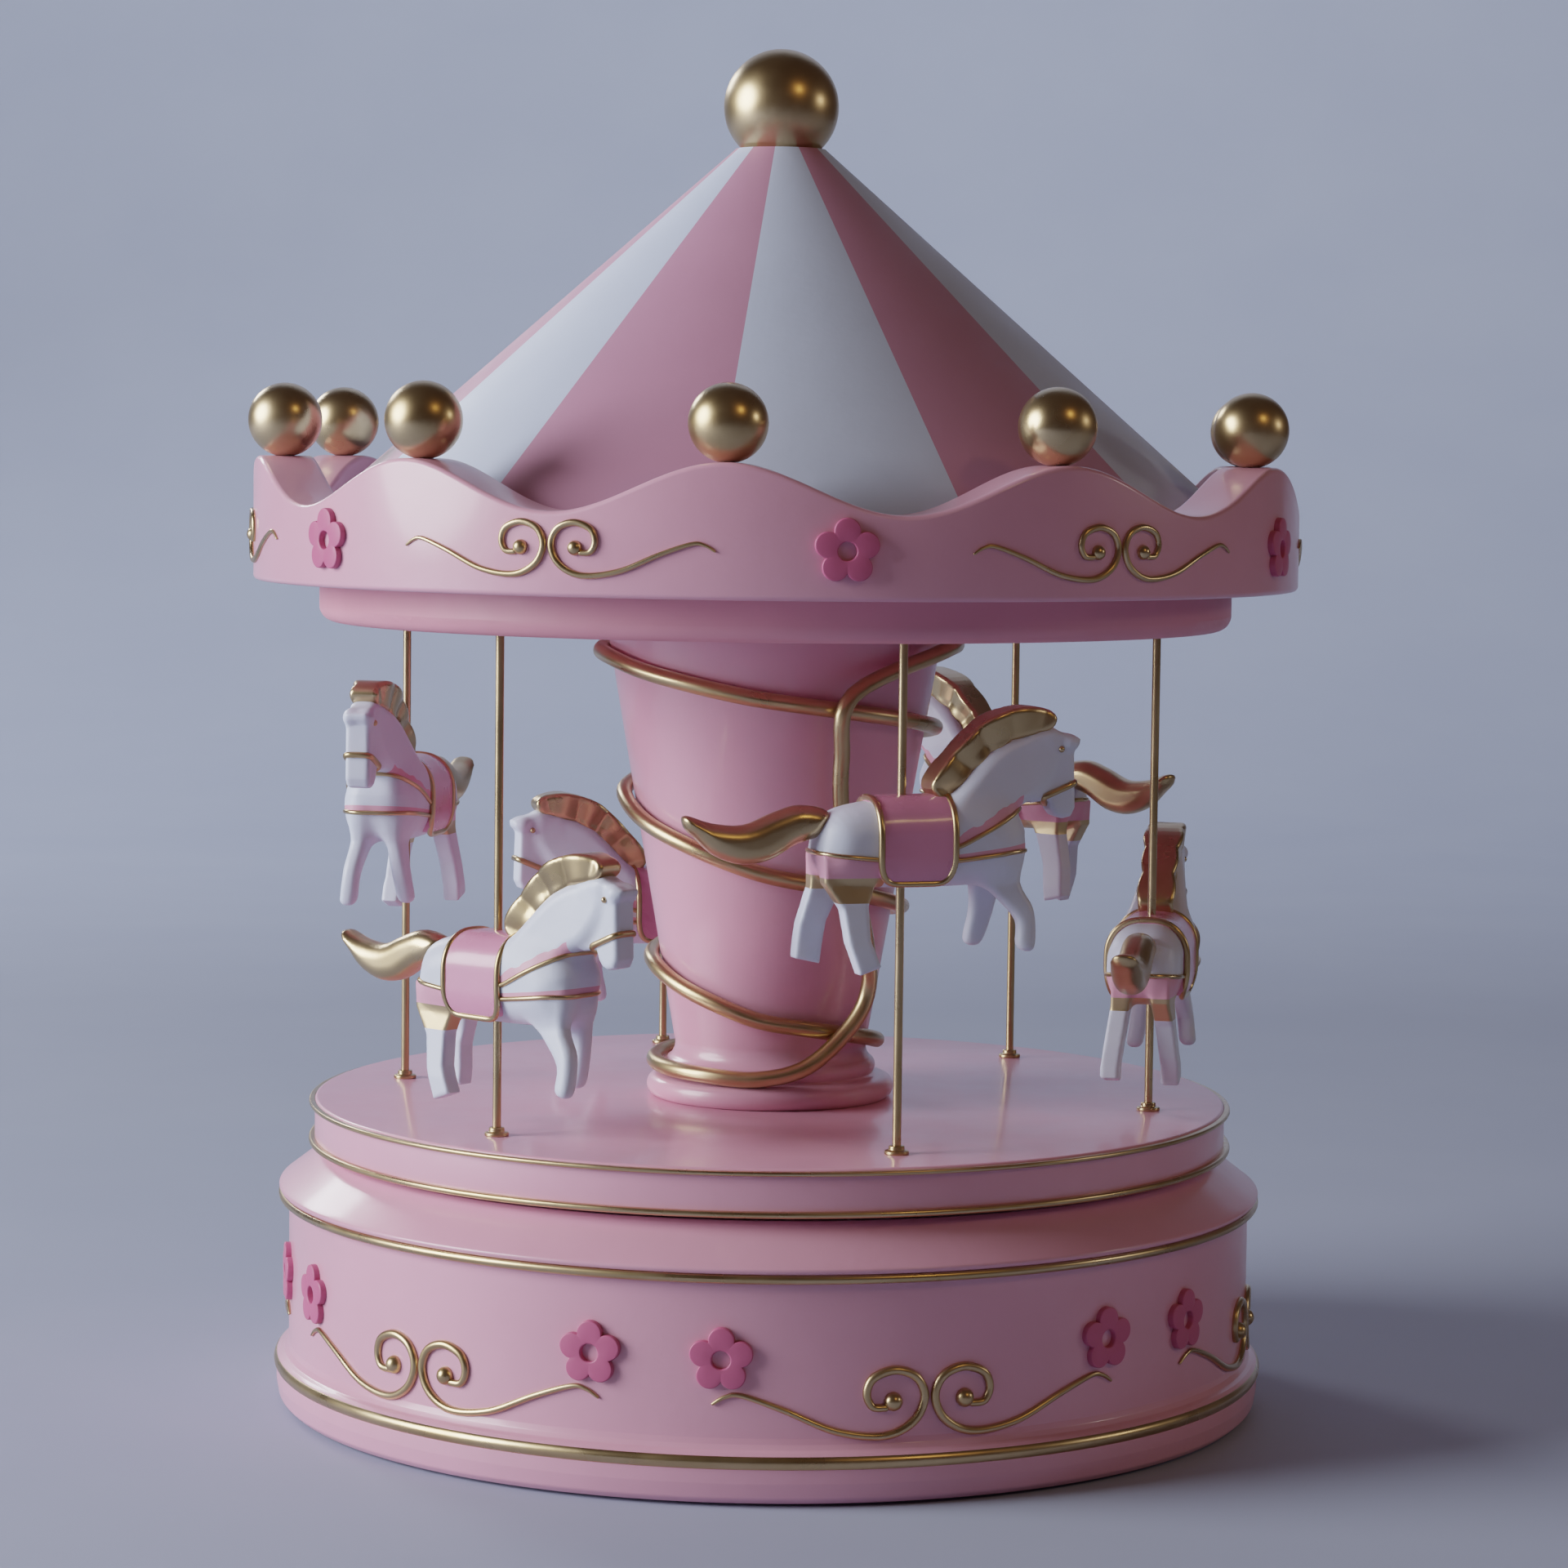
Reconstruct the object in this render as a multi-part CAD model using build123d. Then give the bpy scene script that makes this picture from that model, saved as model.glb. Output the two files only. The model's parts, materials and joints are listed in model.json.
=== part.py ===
from build123d import *
import math
import os

# Carousel music box. Millimetres, +Z up, front at -Y.
# Origin: centre of the footprint, on the surface it stands on.

# ---- driving dimensions -------------------------------------------------
PAD_H = 0.5  # felt foot ring under the base
SHELL_Z = PAD_H  # bottom edge of the base shell
WALL = 2.0  # moulded wall thickness

DRUM_R = 71.3  # straight wall of the base drum
FOOT_R = 73.1
FOOT_RING_Z = 6.2
FOOT_RING_R = 72.35
FOOT_RING_WIRE = 1.15
SHOULDER_TOP_R = 68.5
SHOULDER_TOP_Z = 35.5
LIP_R = 72.9
SHOULDER_RING_Z = 30.9
SHOULDER_RING_R = 72.2
SHOULDER_RING_WIRE = 0.66
NECK_R = 66.5
NECK_TOP_Z = 37.8

STAGE_R = 67.6
STAGE_Z = 38.3  # underside of the turning stage
STAGE_TOP_Z = 45.0
TRIM_R = 68.5

COLUMN_LOW_R = 14.4
COLUMN_LOW_Z = 53.9
COLUMN_SLOPE = 0.1727  # radius gained per millimetre of height
COLUMN_FOOT_R = 18.4
CEILING_R = 67.2
CEILING_Z = 115.3
CEILING_TOP_Z = 121.3

CROWN_R = 76.8
CROWN_IN_R = 68.6
CROWN_MEAN_Z = 135.95
WAVE = 3.35
WAVES = 10
BALL_R = 5.32
BALL_RING_R = 72.7
BALL_Z = 144.45
BALL_PHASE = -5.0

ROOF_TOP_R = 6.6
ROOF_TOP_Z = 184.95
ROOF_LOW_R = 68.4
ROOF_SLOPE = 1.134  # radius gained per millimetre down
ROOF_T = 1.2
FINIAL_R = 8.45
FINIAL_Z = 191.1

HORSES = 6
POLE_PHASE = 18.0
POLE_RING_R = 56.8
POLE_R = 0.6
TRAVEL = 20.5  # how far each horse rises and falls
HORSE_HIGH_Z = 88.0  # middle of a horse's body at the top of its travel
POLE_TOP_Z = 138.0  # pole ends at the top of the travel
POLE_LOW_Z = 26.0

FLOWER_R = 4.4
FLOWER_T = 0.9
CROWN_FLOWER_PHASE = 7.0
CROWN_SCROLL_PHASE = 37.0
BASE_FLOWER_GAP = 7.25
CROWN_ORNAMENT_Z = 127.9
BASE_FLOWER_Z = 19.85
BASE_SCROLL_Z = 14.1

# Clockwork, all inside the base
PLATE_T = 2.5
PLATE_TOP_Z = SHELL_Z + PLATE_T
CAM_IN_R = 58.0
CAM_OUT_R = 60.2
BEDPLATE_Z = 8.2  # underside of the bedplate
BEDPLATE_TOP_Z = 9.7
BARREL_R = 12.5
BARREL_Z = (10.2, 24.0)
FACE_GEAR_R = (15.2, 17.0)  # radial span of the barrel's face teeth
FACE_GEAR_Z = 13.4
FACE_TEETH = 48
PINION_TEETH = 16
TOOTH_H = 0.8
PINION_R = 16.1 * PINION_TEETH / FACE_TEETH
SHAFT_Z = FACE_GEAR_Z + 0.45 + PINION_R
SHAFT_R = 1.0
CYLINDER_R = 5.6
CYLINDER_X = (18.6, 35.6)
COMB_TEETH = 18
WHEEL_TEETH = 20
WHEEL_R = 5.0
WHEEL_X = (36.2, 37.4)
WORM_LEAD = 2 * math.pi * WHEEL_R / WHEEL_TEETH
FLY_X = 36.8
FLY_Y = WHEEL_R + 1.3
FLY_SHAFT_R = 0.5
ARBOR_R = 2.0
SPINDLE_R = 2.5
SPINDLE_TOP_Z = 44.0
ROD_R = 2.0
WELL_R = 19.0  # recess for the winding key
RUN = 0.05  # running clearance on radius


# ---- small helpers ------------------------------------------------------
def at_angle(phi, radius, z):
    """Placement on a ring: phi counts from the front (-Y) towards +X, local -Y faces outwards."""
    a = math.radians(phi)
    return Pos(radius * math.sin(a), -radius * math.cos(a), z) * Rot(0, 0, phi)


def ring_of(count, phase=0.0):
    return [phase + i * 360.0 / count for i in range(count)]


def tube(r_out, r_in, z0, z1):
    """Upright tube; r_in of 0 gives a rod."""
    body = Pos(0, 0, (z0 + z1) / 2) * Cylinder(r_out, z1 - z0)
    if r_in > 0:
        body -= Pos(0, 0, (z0 + z1) / 2) * Cylinder(r_in, z1 - z0 + 2)
    return body


def box(x0, x1, y0, y1, z0, z1):
    return Pos((x0 + x1) / 2, (y0 + y1) / 2, (z0 + z1) / 2) * Box(x1 - x0, y1 - y0, z1 - z0)


def lathe(*outline):
    """Revolve a closed outline, given as (radius, height) lines and arcs, about Z."""
    return revolve(Plane.XZ * make_face(Curve() + list(outline)), Axis.Z)


def lathe_points(*points):
    return revolve(Plane.XZ * make_face(Polyline(*points, close=True)), Axis.Z)


def plate(points, thickness, plane=Plane.XZ):
    """Straight-sided plate through the middle of the plane, from a closed outline."""
    return extrude(plane * make_face(Polyline(*points, close=True)), thickness / 2, both=True)


def group(shapes):
    """Several separate solids in one node."""
    return Compound(children=[s for shape in shapes for s in shape.solids()])


def wire_ring(radius, wire, z):
    return Pos(0, 0, z) * Torus(radius, wire)


def along_x(shape):
    """Turn a shape built about Z so that it lies about X."""
    return Rot(0, 90, 0) * shape


def gear(teeth, r_root, r_tip, width, share=0.34):
    """Spur wheel about Z, with straight-sided teeth that leave free play in mesh."""
    pitch = 360.0 / teeth
    outline = []
    for i in range(teeth):
        for r, half in ((r_root, share * 0.62), (r_tip, share * 0.34)):
            outline.append((r, i * pitch - half * pitch))
        for r, half in ((r_tip, share * 0.34), (r_root, share * 0.62)):
            outline.append((r, i * pitch + half * pitch))
    points = [(r * math.cos(math.radians(a)), r * math.sin(math.radians(a))) for r, a in outline]
    return extrude(make_face(Polyline(*points, close=True)), width)


def cut_waves(ring, radius, waves, phase, mean_z, amplitude, top_z):
    """Cut a ring's top edge to mean_z + amplitude * cos(waves * angle), crests at phase, true at radius."""
    half = math.pi / waves
    points = []
    for i in range(-6, 7):
        a = i * half / 6
        points.append((radius * math.sin(a), mean_z - amplitude * math.cos(waves * a)))
    (x0, z0), (x1, z1) = points[0], points[-1]
    outline = Spline(*points) + Polyline((x1, z1), (x1, top_z + 1), (x0, top_z + 1), (x0, z0))
    cutter = extrude(Plane.XZ * make_face(outline), radius + 5)
    for phi in ring_of(waves, phase + 180.0 / waves):
        ring -= Rot(0, 0, phi) * cutter
    return ring


# ---- base ---------------------------------------------------------------
def base_shell():
    outline = [
        Line((70.6, SHELL_Z), (72.0, SHELL_Z)),
        RadiusArc((72.0, SHELL_Z), (FOOT_R, 3.4), -3.2),
        Polyline((FOOT_R, 3.4), (FOOT_R, 7.1), (72.6, 7.5)),
        RadiusArc((72.6, 7.5), (71.55, 8.45), 2.2),
        Polyline((71.55, 8.45), (DRUM_R, 8.6), (DRUM_R, 31.6), (72.4, 31.6)),
        RadiusArc((72.4, 31.6), (72.0, 32.75), -0.75),
        Polyline(
            (72.0, 32.75), (SHOULDER_TOP_R, SHOULDER_TOP_Z), (NECK_R, SHOULDER_TOP_Z),
            (NECK_R, NECK_TOP_Z), (NECK_R - WALL, NECK_TOP_Z), (NECK_R - WALL, 34.3),
            (66.9, 34.3), (69.3, 31.9), (69.3, PLATE_TOP_Z), (70.6, PLATE_TOP_Z), (70.6, SHELL_Z),
        ),
    ]
    shell = lathe(*outline)
    for phi in ring_of(4, 45):
        boss = at_angle(phi, 66.4, 0) * tube(3.2, 1.0, PLATE_TOP_Z, 16)
        shell += boss - tube(80, 70.0, 0, 40)
        shell -= at_angle(phi, 66.4, 0) * tube(1.0, 0, PLATE_TOP_Z - 1, 14)
    shell -= wire_ring(FOOT_RING_R, FOOT_RING_WIRE, FOOT_RING_Z)
    return shell - wire_ring(SHOULDER_RING_R, SHOULDER_RING_WIRE, SHOULDER_RING_Z)


def bedplate_posts():
    return [(40, -21), (40, 15), (-16, -21), (-16, 15)]


def base_plate():
    roof_z = BEDPLATE_Z - 1.3
    disc = tube(70.5, WELL_R, SHELL_Z, PLATE_TOP_Z)
    disc += tube(WELL_R + 1.5, WELL_R, SHELL_Z, BEDPLATE_Z)
    disc += tube(WELL_R + 1.5, ARBOR_R + 0.3, roof_z, BEDPLATE_Z)
    for x, y in bedplate_posts():
        disc += Pos(x, y, 0) * tube(2.5, 0, SHELL_Z, BEDPLATE_Z) - tube(WELL_R, 0, 0, BEDPLATE_Z)
        disc -= Pos(x, y, 0) * tube(0.9, 0, 4, 12)
    for phi in ring_of(4, 45):
        disc -= at_angle(phi, 66.4, 0) * (tube(2.3, 0, 0, 2.0) + tube(1.2, 0, 0, 6))
    return disc


def base_plate_screws():
    screw = tube(2.1, 0, 0.6, 2.0) + tube(1.0, 0, 1.5, 13.5)
    screw -= box(-2.5, 2.5, -0.25, 0.25, 0, 1.0)
    return group(at_angle(phi, 66.4, 0) * screw for phi in ring_of(4, 45))


def foot_pad():
    return tube(69.0, 54.0, 0, PAD_H)


def foot_trim_ring():
    return wire_ring(FOOT_RING_R, FOOT_RING_WIRE, FOOT_RING_Z)


def shoulder_trim_ring():
    return wire_ring(SHOULDER_RING_R, SHOULDER_RING_WIRE, SHOULDER_RING_Z)


def flower(wall_r, z):
    """Five-petal plate with a round eye, bent over a wall of radius wall_r, at phi = 0."""
    petals = Circle(FLOWER_R * 0.6)
    for angle in ring_of(5, 90):
        petals += Rot(0, 0, angle) * Pos(FLOWER_R * 0.6, 0) * Circle(FLOWER_R * 0.4)
    petals -= Circle(FLOWER_R * 0.28)
    blank = extrude(Plane.XZ * petals, FLOWER_T + 0.6)
    blank = Pos(0, -(wall_r - 0.6), z) * blank
    return blank - tube(wall_r, 0, z - 10, z + 10)


def scroll_half(wall_r, z, size):
    """Tapering S-scroll ending in a beaded spiral, laid on a wall of radius wall_r."""
    path = [
        (-29.5, -0.3), (-27.8, 0.7), (-25.6, 0.9), (-20.0, -1.0), (-13.0, -3.9), (-6.4, -4.7),
        (-2.3, -2.9), (-0.75, 0.3), (-1.9, 3.1), (-4.9, 4.2), (-7.9, 3.2), (-8.8, 1.1),
        (-8.0, -0.7), (-6.2, -0.9),
    ]
    wire = 0.6 * size
    path_r = wall_r + 0.2 * size  # the wire sinks part of its thickness into the wall
    points = []
    for u, v in path:
        a = u * size / wall_r
        points.append((path_r * math.sin(a), -path_r * math.cos(a), z + v * size))
    spine = Spline(*points)
    section = Plane(origin=spine @ 0, z_dir=spine % 0) * Circle(wire)
    body = sweep(section, path=spine)
    bead_a = -5.1 * size / wall_r
    bead = Pos(path_r * math.sin(bead_a), -path_r * math.cos(bead_a), z - 0.1 * size)
    body += bead * Sphere(1.35 * size)
    return body - tube(wall_r, 0, z - 10, z + 10)


def scroll_pair(wall_r, z, size):
    left = scroll_half(wall_r, z, size)
    return [left, mirror(left, Plane.YZ)]


def on_ring(shapes, phases):
    return group(Rot(0, 0, phi) * shape for phi in phases for shape in shapes)


def base_flowers():
    one = flower(DRUM_R, BASE_FLOWER_Z)
    middle = POLE_PHASE - 180.0 / HORSES
    phases = [p + side for p in ring_of(6, middle) for side in (-BASE_FLOWER_GAP, BASE_FLOWER_GAP)]
    return on_ring([one], phases)


def base_scrolls():
    return on_ring(scroll_pair(DRUM_R, BASE_SCROLL_Z, 1.0), ring_of(6, POLE_PHASE))


def cam_track():
    """Fixed wall with three waves; its top edge lifts the pole followers as the stage turns."""
    crest_z = POLE_LOW_Z + 0.4
    ring = tube(CAM_OUT_R, CAM_IN_R, PLATE_TOP_Z, crest_z - 0.05)
    return cut_waves(
        ring, CAM_OUT_R, HORSES // 2, POLE_PHASE, crest_z - TRAVEL / 2, TRAVEL / 2, crest_z
    )


# ---- clockwork ----------------------------------------------------------
def bearing_bridge():
    """Bridge over the movement that carries the spindle bush."""
    bridge = box(-8, 8, -31, 31, 30.5, 32.5)
    for y in (-31, 29):
        bridge += box(-8, 8, y, y + 2, PLATE_TOP_Z, 31)
        bridge += box(-8, 8, y - 4, y + 6, PLATE_TOP_Z, PLATE_TOP_Z + 1.5)
    return bridge - tube(4.0, 0, 29, 34)


def spindle_bush():
    bore = SPINDLE_R + RUN
    return tube(4.0, bore, 30.0, 32.5) + tube(6.0, bore, 32.5, 33.5)


def movement_bedplate():
    plate_body = box(-20, 43, -25, 18, BEDPLATE_Z, BEDPLATE_TOP_Z)
    plate_body = fillet(plate_body.edges().filter_by(Axis.Z), 3)
    comb_seat_z = SHAFT_Z - 0.4
    plate_body += box(19, 35.2, -21.5, -14.5, BEDPLATE_TOP_Z, comb_seat_z)
    plate_body -= tube(ARBOR_R + RUN, 0, 0, 12)
    for x, y in bedplate_posts():
        plate_body -= Pos(x, y, 0) * tube(1.0, 0, 7, 12)
    for x in (22, 32):
        plate_body -= Pos(x, -18, 0) * tube(0.8, 0, comb_seat_z - 5, comb_seat_z + 1)
    return plate_body


def music_comb():
    pitch = (CYLINDER_X[1] - CYLINDER_X[0] - 1.0) / COMB_TEETH
    x0 = CYLINDER_X[0] + 0.5
    low, high = SHAFT_Z - 0.4, SHAFT_Z + 0.4
    tip_y = -(CYLINDER_R + 0.75)
    comb = box(x0, x0 + COMB_TEETH * pitch, -21.5, -14.5, low, high)
    for i in range(COMB_TEETH):
        x = x0 + (i + 0.15) * pitch
        comb += box(x, x + 0.7 * pitch, -15, tip_y, low, high)
    for x in (22, 32):
        comb -= Pos(x, -18, 0) * tube(0.9, 0, low - 1, high + 1)
    return comb


def movement_screws():
    """Four bedplate screws and two comb screws."""
    screws = []
    for x, y in bedplate_posts():
        screws.append((x, y, BEDPLATE_TOP_Z, 5.0))
    for x in (22, 32):
        screws.append((x, -18, SHAFT_Z + 0.4, 4.8))
    shapes = []
    for x, y, seat, length in screws:
        screw = tube(1.7, 0, seat, seat + 1.2) + tube(0.75, 0, seat - length, seat + 0.5)
        screw -= box(-2, 2, -0.2, 0.2, seat + 0.7, seat + 2)
        shapes.append(Pos(x, y, 0) * screw)
    return group(shapes)


def cylinder_brackets():
    brackets = []
    for x0 in (17.4, 37.9):
        bracket = box(x0, x0 + 0.9, -3.5, 3.5, BEDPLATE_TOP_Z, SHAFT_Z + 2.6)
        bracket -= Pos(x0, 0, SHAFT_Z) * along_x(Cylinder(SHAFT_R + RUN, 8))
        brackets.append(bracket)
    return group(brackets)


def governor_frame():
    frame = box(FLY_X - 1.0, FLY_X + 1.0, 11.5, 13.5, BEDPLATE_TOP_Z, 35.0)
    frame += box(FLY_X - 1.0, FLY_X + 1.0, 4.9, 13.5, 33.7, 35.0)
    frame += box(FLY_X - 1.0, FLY_X + 1.0, 5.2, 13.5, 12.4, 13.6)
    return frame - Pos(FLY_X, FLY_Y, 0) * tube(FLY_SHAFT_R + RUN, 0, 12, 36)


def spring_barrel():
    """Barrel with its face gear, and the spindle that carries the turning stage."""
    low, high = BARREL_Z
    barrel = tube(BARREL_R, ARBOR_R + RUN, low, high - 1)
    barrel += tube(BARREL_R, 0, high - 1.2, high)
    barrel -= tube(BARREL_R - 1, ARBOR_R + 0.6, low + 1.2, high - 1.2)
    barrel += tube(FACE_GEAR_R[1] + 0.2, BARREL_R - 0.5, FACE_GEAR_Z - 1.2, FACE_GEAR_Z)
    barrel += tube(SPINDLE_R, 0, high - 0.5, SPINDLE_TOP_Z)
    barrel += Pos(0, 0, high) * tube(6.0, 0, 0, 2.0)
    mid_r = sum(FACE_GEAR_R) / 2
    tooth = [(-0.45, -0.2), (0.45, -0.2), (0.26, TOOTH_H), (-0.26, TOOTH_H)]
    profile = Plane.YZ * make_face(Polyline(*tooth, close=True))
    block = extrude(profile, (FACE_GEAR_R[1] - FACE_GEAR_R[0]) / 2, both=True)
    block = Pos(mid_r, 0, FACE_GEAR_Z) * block
    for angle in ring_of(FACE_TEETH, 180.0 / FACE_TEETH):
        barrel += Rot(0, 0, angle) * block
    return barrel


def mainspring():
    """Flat spiral spring: half-circle coils about two alternating centres."""
    thick, pitch, r = 0.35, 1.3, 3.4
    coils = None
    x = 0.0
    for i in range(11):
        half = Circle(r + thick) - Circle(r)
        side = 1 if i % 2 == 0 else -1
        half &= Pos(0, side * 20) * Rectangle(60, 40)
        coil = Pos(x, 0) * half
        coils = coil if coils is None else coils + coil
        x += side * pitch / 4
        r += pitch / 4
    low, high = BARREL_Z
    return Pos(0, 0, low + 2.0) * extrude(coils, high - low - 4.0)


def pin_cylinder():
    """Pinned cylinder on its shaft, with the drive pinion and the governor wheel."""
    shaft = Pos(26.7, 0, 0) * along_x(Cylinder(SHAFT_R, 24.4))
    x0, x1 = CYLINDER_X
    drum = Pos((x0 + x1) / 2, 0, 0) * along_x(Cylinder(CYLINDER_R, x1 - x0))
    pinion = gear(PINION_TEETH, PINION_R - 0.45, PINION_R + 0.33, FACE_GEAR_R[1] - FACE_GEAR_R[0])
    pinion = Pos(FACE_GEAR_R[0], 0, 0) * along_x(pinion)
    wheel = gear(WHEEL_TEETH, WHEEL_R - 0.4, WHEEL_R + 0.22, WHEEL_X[1] - WHEEL_X[0], 0.28)
    wheel = Pos(WHEEL_X[0], 0, 0) * along_x(wheel)
    cylinder = shaft + drum + pinion + wheel
    cylinder += Pos(WHEEL_X[0] - 0.3, 0, 0) * along_x(Cylinder(2.0, 1.4))
    pitch = (x1 - x0 - 1.0) / COMB_TEETH
    for i in range(3 * COMB_TEETH):
        pin = Pos(0, 0, CYLINDER_R) * Cylinder(0.15, 0.8)
        x = x0 + 0.5 + (i % COMB_TEETH + 0.5) * pitch
        cylinder += Pos(x, 0, 0) * Rot(137.5 * i, 0, 0) * pin
    return Pos(0, 0, SHAFT_Z) * cylinder


def governor_fly():
    """Upright air brake: worm on a thin shaft, with two vanes above it."""
    worm_z0, turns = SHAFT_Z - 2 * WORM_LEAD, 4
    fly = tube(FLY_SHAFT_R, 0, 12.6, 34.8) + tube(0.85, 0, worm_z0 - 0.8, 31.5)
    spine = Helix(WORM_LEAD, turns * WORM_LEAD, 1.05)
    section = Plane(origin=spine @ 0, z_dir=spine % 0) * Circle(0.25)
    thread = sweep(section, path=spine, is_frenet=True)
    fly += Pos(0, 0, worm_z0) * thread
    for side in (-1, 1):
        fly += box(min(0, side * 3.4), max(0, side * 3.4), -0.2, 0.2, 25.6, 31.5)
    return Pos(FLY_X, FLY_Y, 0) * fly


def winding_arbor():
    return tube(ARBOR_R, 0, 1.4, 21.0)


def winding_key():
    key = tube(4.0, ARBOR_R, 1.2, 6.3)
    wing = box(3.0, 15.0, -0.9, 0.9, 1.2, 6.0)
    wing = fillet(wing.edges().filter_by(Axis.Y).group_by(Axis.X)[-1], 1.6)
    return key + wing + mirror(wing, Plane.YZ)


# ---- turning part -------------------------------------------------------
def column_r(z):
    return COLUMN_LOW_R + COLUMN_SLOPE * (z - COLUMN_LOW_Z)


def stage_platform():
    stage = lathe_points(
        (SPINDLE_R, 34.0), (9.0, 34.0), (9.0, 43.0), (STAGE_R - WALL, 43.0),
        (STAGE_R - WALL, STAGE_Z), (STAGE_R, STAGE_Z), (STAGE_R, STAGE_TOP_Z),
        (ROD_R + RUN, STAGE_TOP_Z), (ROD_R + RUN, SPINDLE_TOP_Z), (SPINDLE_R, SPINDLE_TOP_Z),
    )
    for phi in ring_of(HORSES, POLE_PHASE):
        stage += at_angle(phi, POLE_RING_R, 0) * tube(2.6, 0, 39.0, 43.5)
        stage -= at_angle(phi, POLE_RING_R, 0) * tube(POLE_R + RUN, 0, 38, 46)
    return stage


def stage_trim_rings():
    top = tube(TRIM_R - 0.05, STAGE_R, 44.4, 45.05)
    low = tube(TRIM_R, STAGE_R, 38.35, 39.25)
    return group([fillet(band.edges().group_by(SortBy.LENGTH)[-1], 0.3) for band in (top, low)])


def centre_column():
    top_r = column_r(CEILING_Z)
    outline = [
        Line((12.0, STAGE_TOP_Z), (17.3, STAGE_TOP_Z)),
        ThreePointArc((17.3, STAGE_TOP_Z), (COLUMN_FOOT_R, 46.6), (16.6, 48.3)),
        Line((16.6, 48.3), (15.3, 48.7)),
        ThreePointArc((15.3, 48.7), (15.6, 50.0), (14.9, 51.0)),
        ThreePointArc((14.9, 51.0), (14.25, 52.3), (COLUMN_LOW_R, COLUMN_LOW_Z)),
        Polyline(
            (COLUMN_LOW_R, COLUMN_LOW_Z), (top_r, CEILING_Z), (top_r - WALL, CEILING_Z),
            (COLUMN_LOW_R - WALL, COLUMN_LOW_Z), (12.0, STAGE_TOP_Z),
        ),
    ]
    return lathe(*outline)


def vine_turns():
    """(phi, height, standoff) along the rod: a straight run down, then four rising turns."""
    run, turn = 3.0, 0.3
    return [
        (24, 106.2, run), (22, 97, run), (24, 88.3, run), (31, 79, run), (40, 70.0, run),
        (45, 63, run), (38, 57.5, run), (18, 51.6, 1.0), (-6, 49.6, turn), (-87, 50.2, turn),
        (-180, 51.3, turn), (-273, 53.5, turn), (-366, 58.1, turn), (-434, 64.9, turn),
        (-540, 69.5, turn), (-647, 74.3, turn), (-725, 80.0, turn), (-807, 89.7, turn),
        (-900, 96.0, turn), (-1008, 101.0, turn), (-1086, 105.5, turn), (-1149, 110.5, turn),
        (-1240, 113.2, turn), (-1320, 113.2, turn), (-1375, 112.0, 1.5), (-1403, 109.8, run),
    ]


def column_vine():
    """Bent brass rod wound round the column; the straight run stands clear where it crosses."""
    wire = 1.2
    stops = vine_turns()
    points = []
    for (phi, z, out), (next_phi, next_z, next_out) in zip(stops, stops[1:]):
        steps = max(1, round(abs(next_phi - phi) / 24))
        for j in range(steps):
            t = j / steps
            a = math.radians(phi + (next_phi - phi) * t)
            h = z + (next_z - z) * t
            floor_r = 15.8 if h < 52.5 else 0.0
            r = max(column_r(h), floor_r) + wire + out + (next_out - out) * t
            points.append((r * math.sin(a), -r * math.cos(a), h))
    spine = Spline(*points)
    section = Plane(origin=spine @ 0, z_dir=spine % 0) * Circle(wire)
    return sweep(section, path=spine)


def canopy_ceiling():
    ceiling = lathe(
        Line((ROD_R + RUN, CEILING_Z), (CEILING_R - 2.2, CEILING_Z)),
        RadiusArc((CEILING_R - 2.2, CEILING_Z), (CEILING_R, CEILING_Z + 2.2), -2.2),
        Polyline(
            (CEILING_R, CEILING_Z + 2.2), (CEILING_R, CEILING_TOP_Z), (64.2, CEILING_TOP_Z),
            (64.2, CEILING_Z + 3), (ROD_R + RUN, CEILING_Z + 3), (ROD_R + RUN, CEILING_Z),
        ),
    )
    for phi in ring_of(HORSES, POLE_PHASE):
        ceiling -= at_angle(phi, POLE_RING_R, 0) * tube(1.6, 0, 114, 120)
    return ceiling


def pole_bushes():
    """A flanged collar on the stage and a plain bush in the ceiling for each pole."""
    bore = POLE_R + RUN
    low = tube(1.7, bore, STAGE_TOP_Z, STAGE_TOP_Z + 0.5) + tube(1.1, bore, STAGE_TOP_Z, 46.2)
    high = tube(1.6, bore, CEILING_Z, CEILING_Z + 3)
    places = [at_angle(phi, POLE_RING_R, 0) for phi in ring_of(HORSES, POLE_PHASE)]
    return group(place * shape for place in places for shape in (low, high))


def crown_rim():
    crest_z = CROWN_MEAN_Z + WAVE
    rim = tube(CROWN_R, CROWN_IN_R, CEILING_TOP_Z, crest_z - 0.03)
    rim = cut_waves(rim, CROWN_R, WAVES, BALL_PHASE, CROWN_MEAN_Z, WAVE, crest_z)
    rim += tube(CROWN_IN_R + 1, 62.0, CEILING_TOP_Z, CEILING_TOP_Z + 1.5)
    rim += tube(CROWN_IN_R + 1, 66.2, 127.2, 128.7)
    return rim


def crown_balls():
    seat_z = CROWN_MEAN_Z + WAVE
    ball = Pos(0, 0, BALL_Z) * Sphere(BALL_R) - tube(20, 0, seat_z - 10, seat_z)
    return group(at_angle(phi, BALL_RING_R, 0) * ball for phi in ring_of(WAVES, BALL_PHASE))


def crown_flowers():
    return on_ring([flower(CROWN_R, CROWN_ORNAMENT_Z)], ring_of(6, CROWN_FLOWER_PHASE))


def crown_scrolls():
    return on_ring(scroll_pair(CROWN_R, CROWN_ORNAMENT_Z, 0.78), ring_of(6, CROWN_SCROLL_PHASE))


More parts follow.
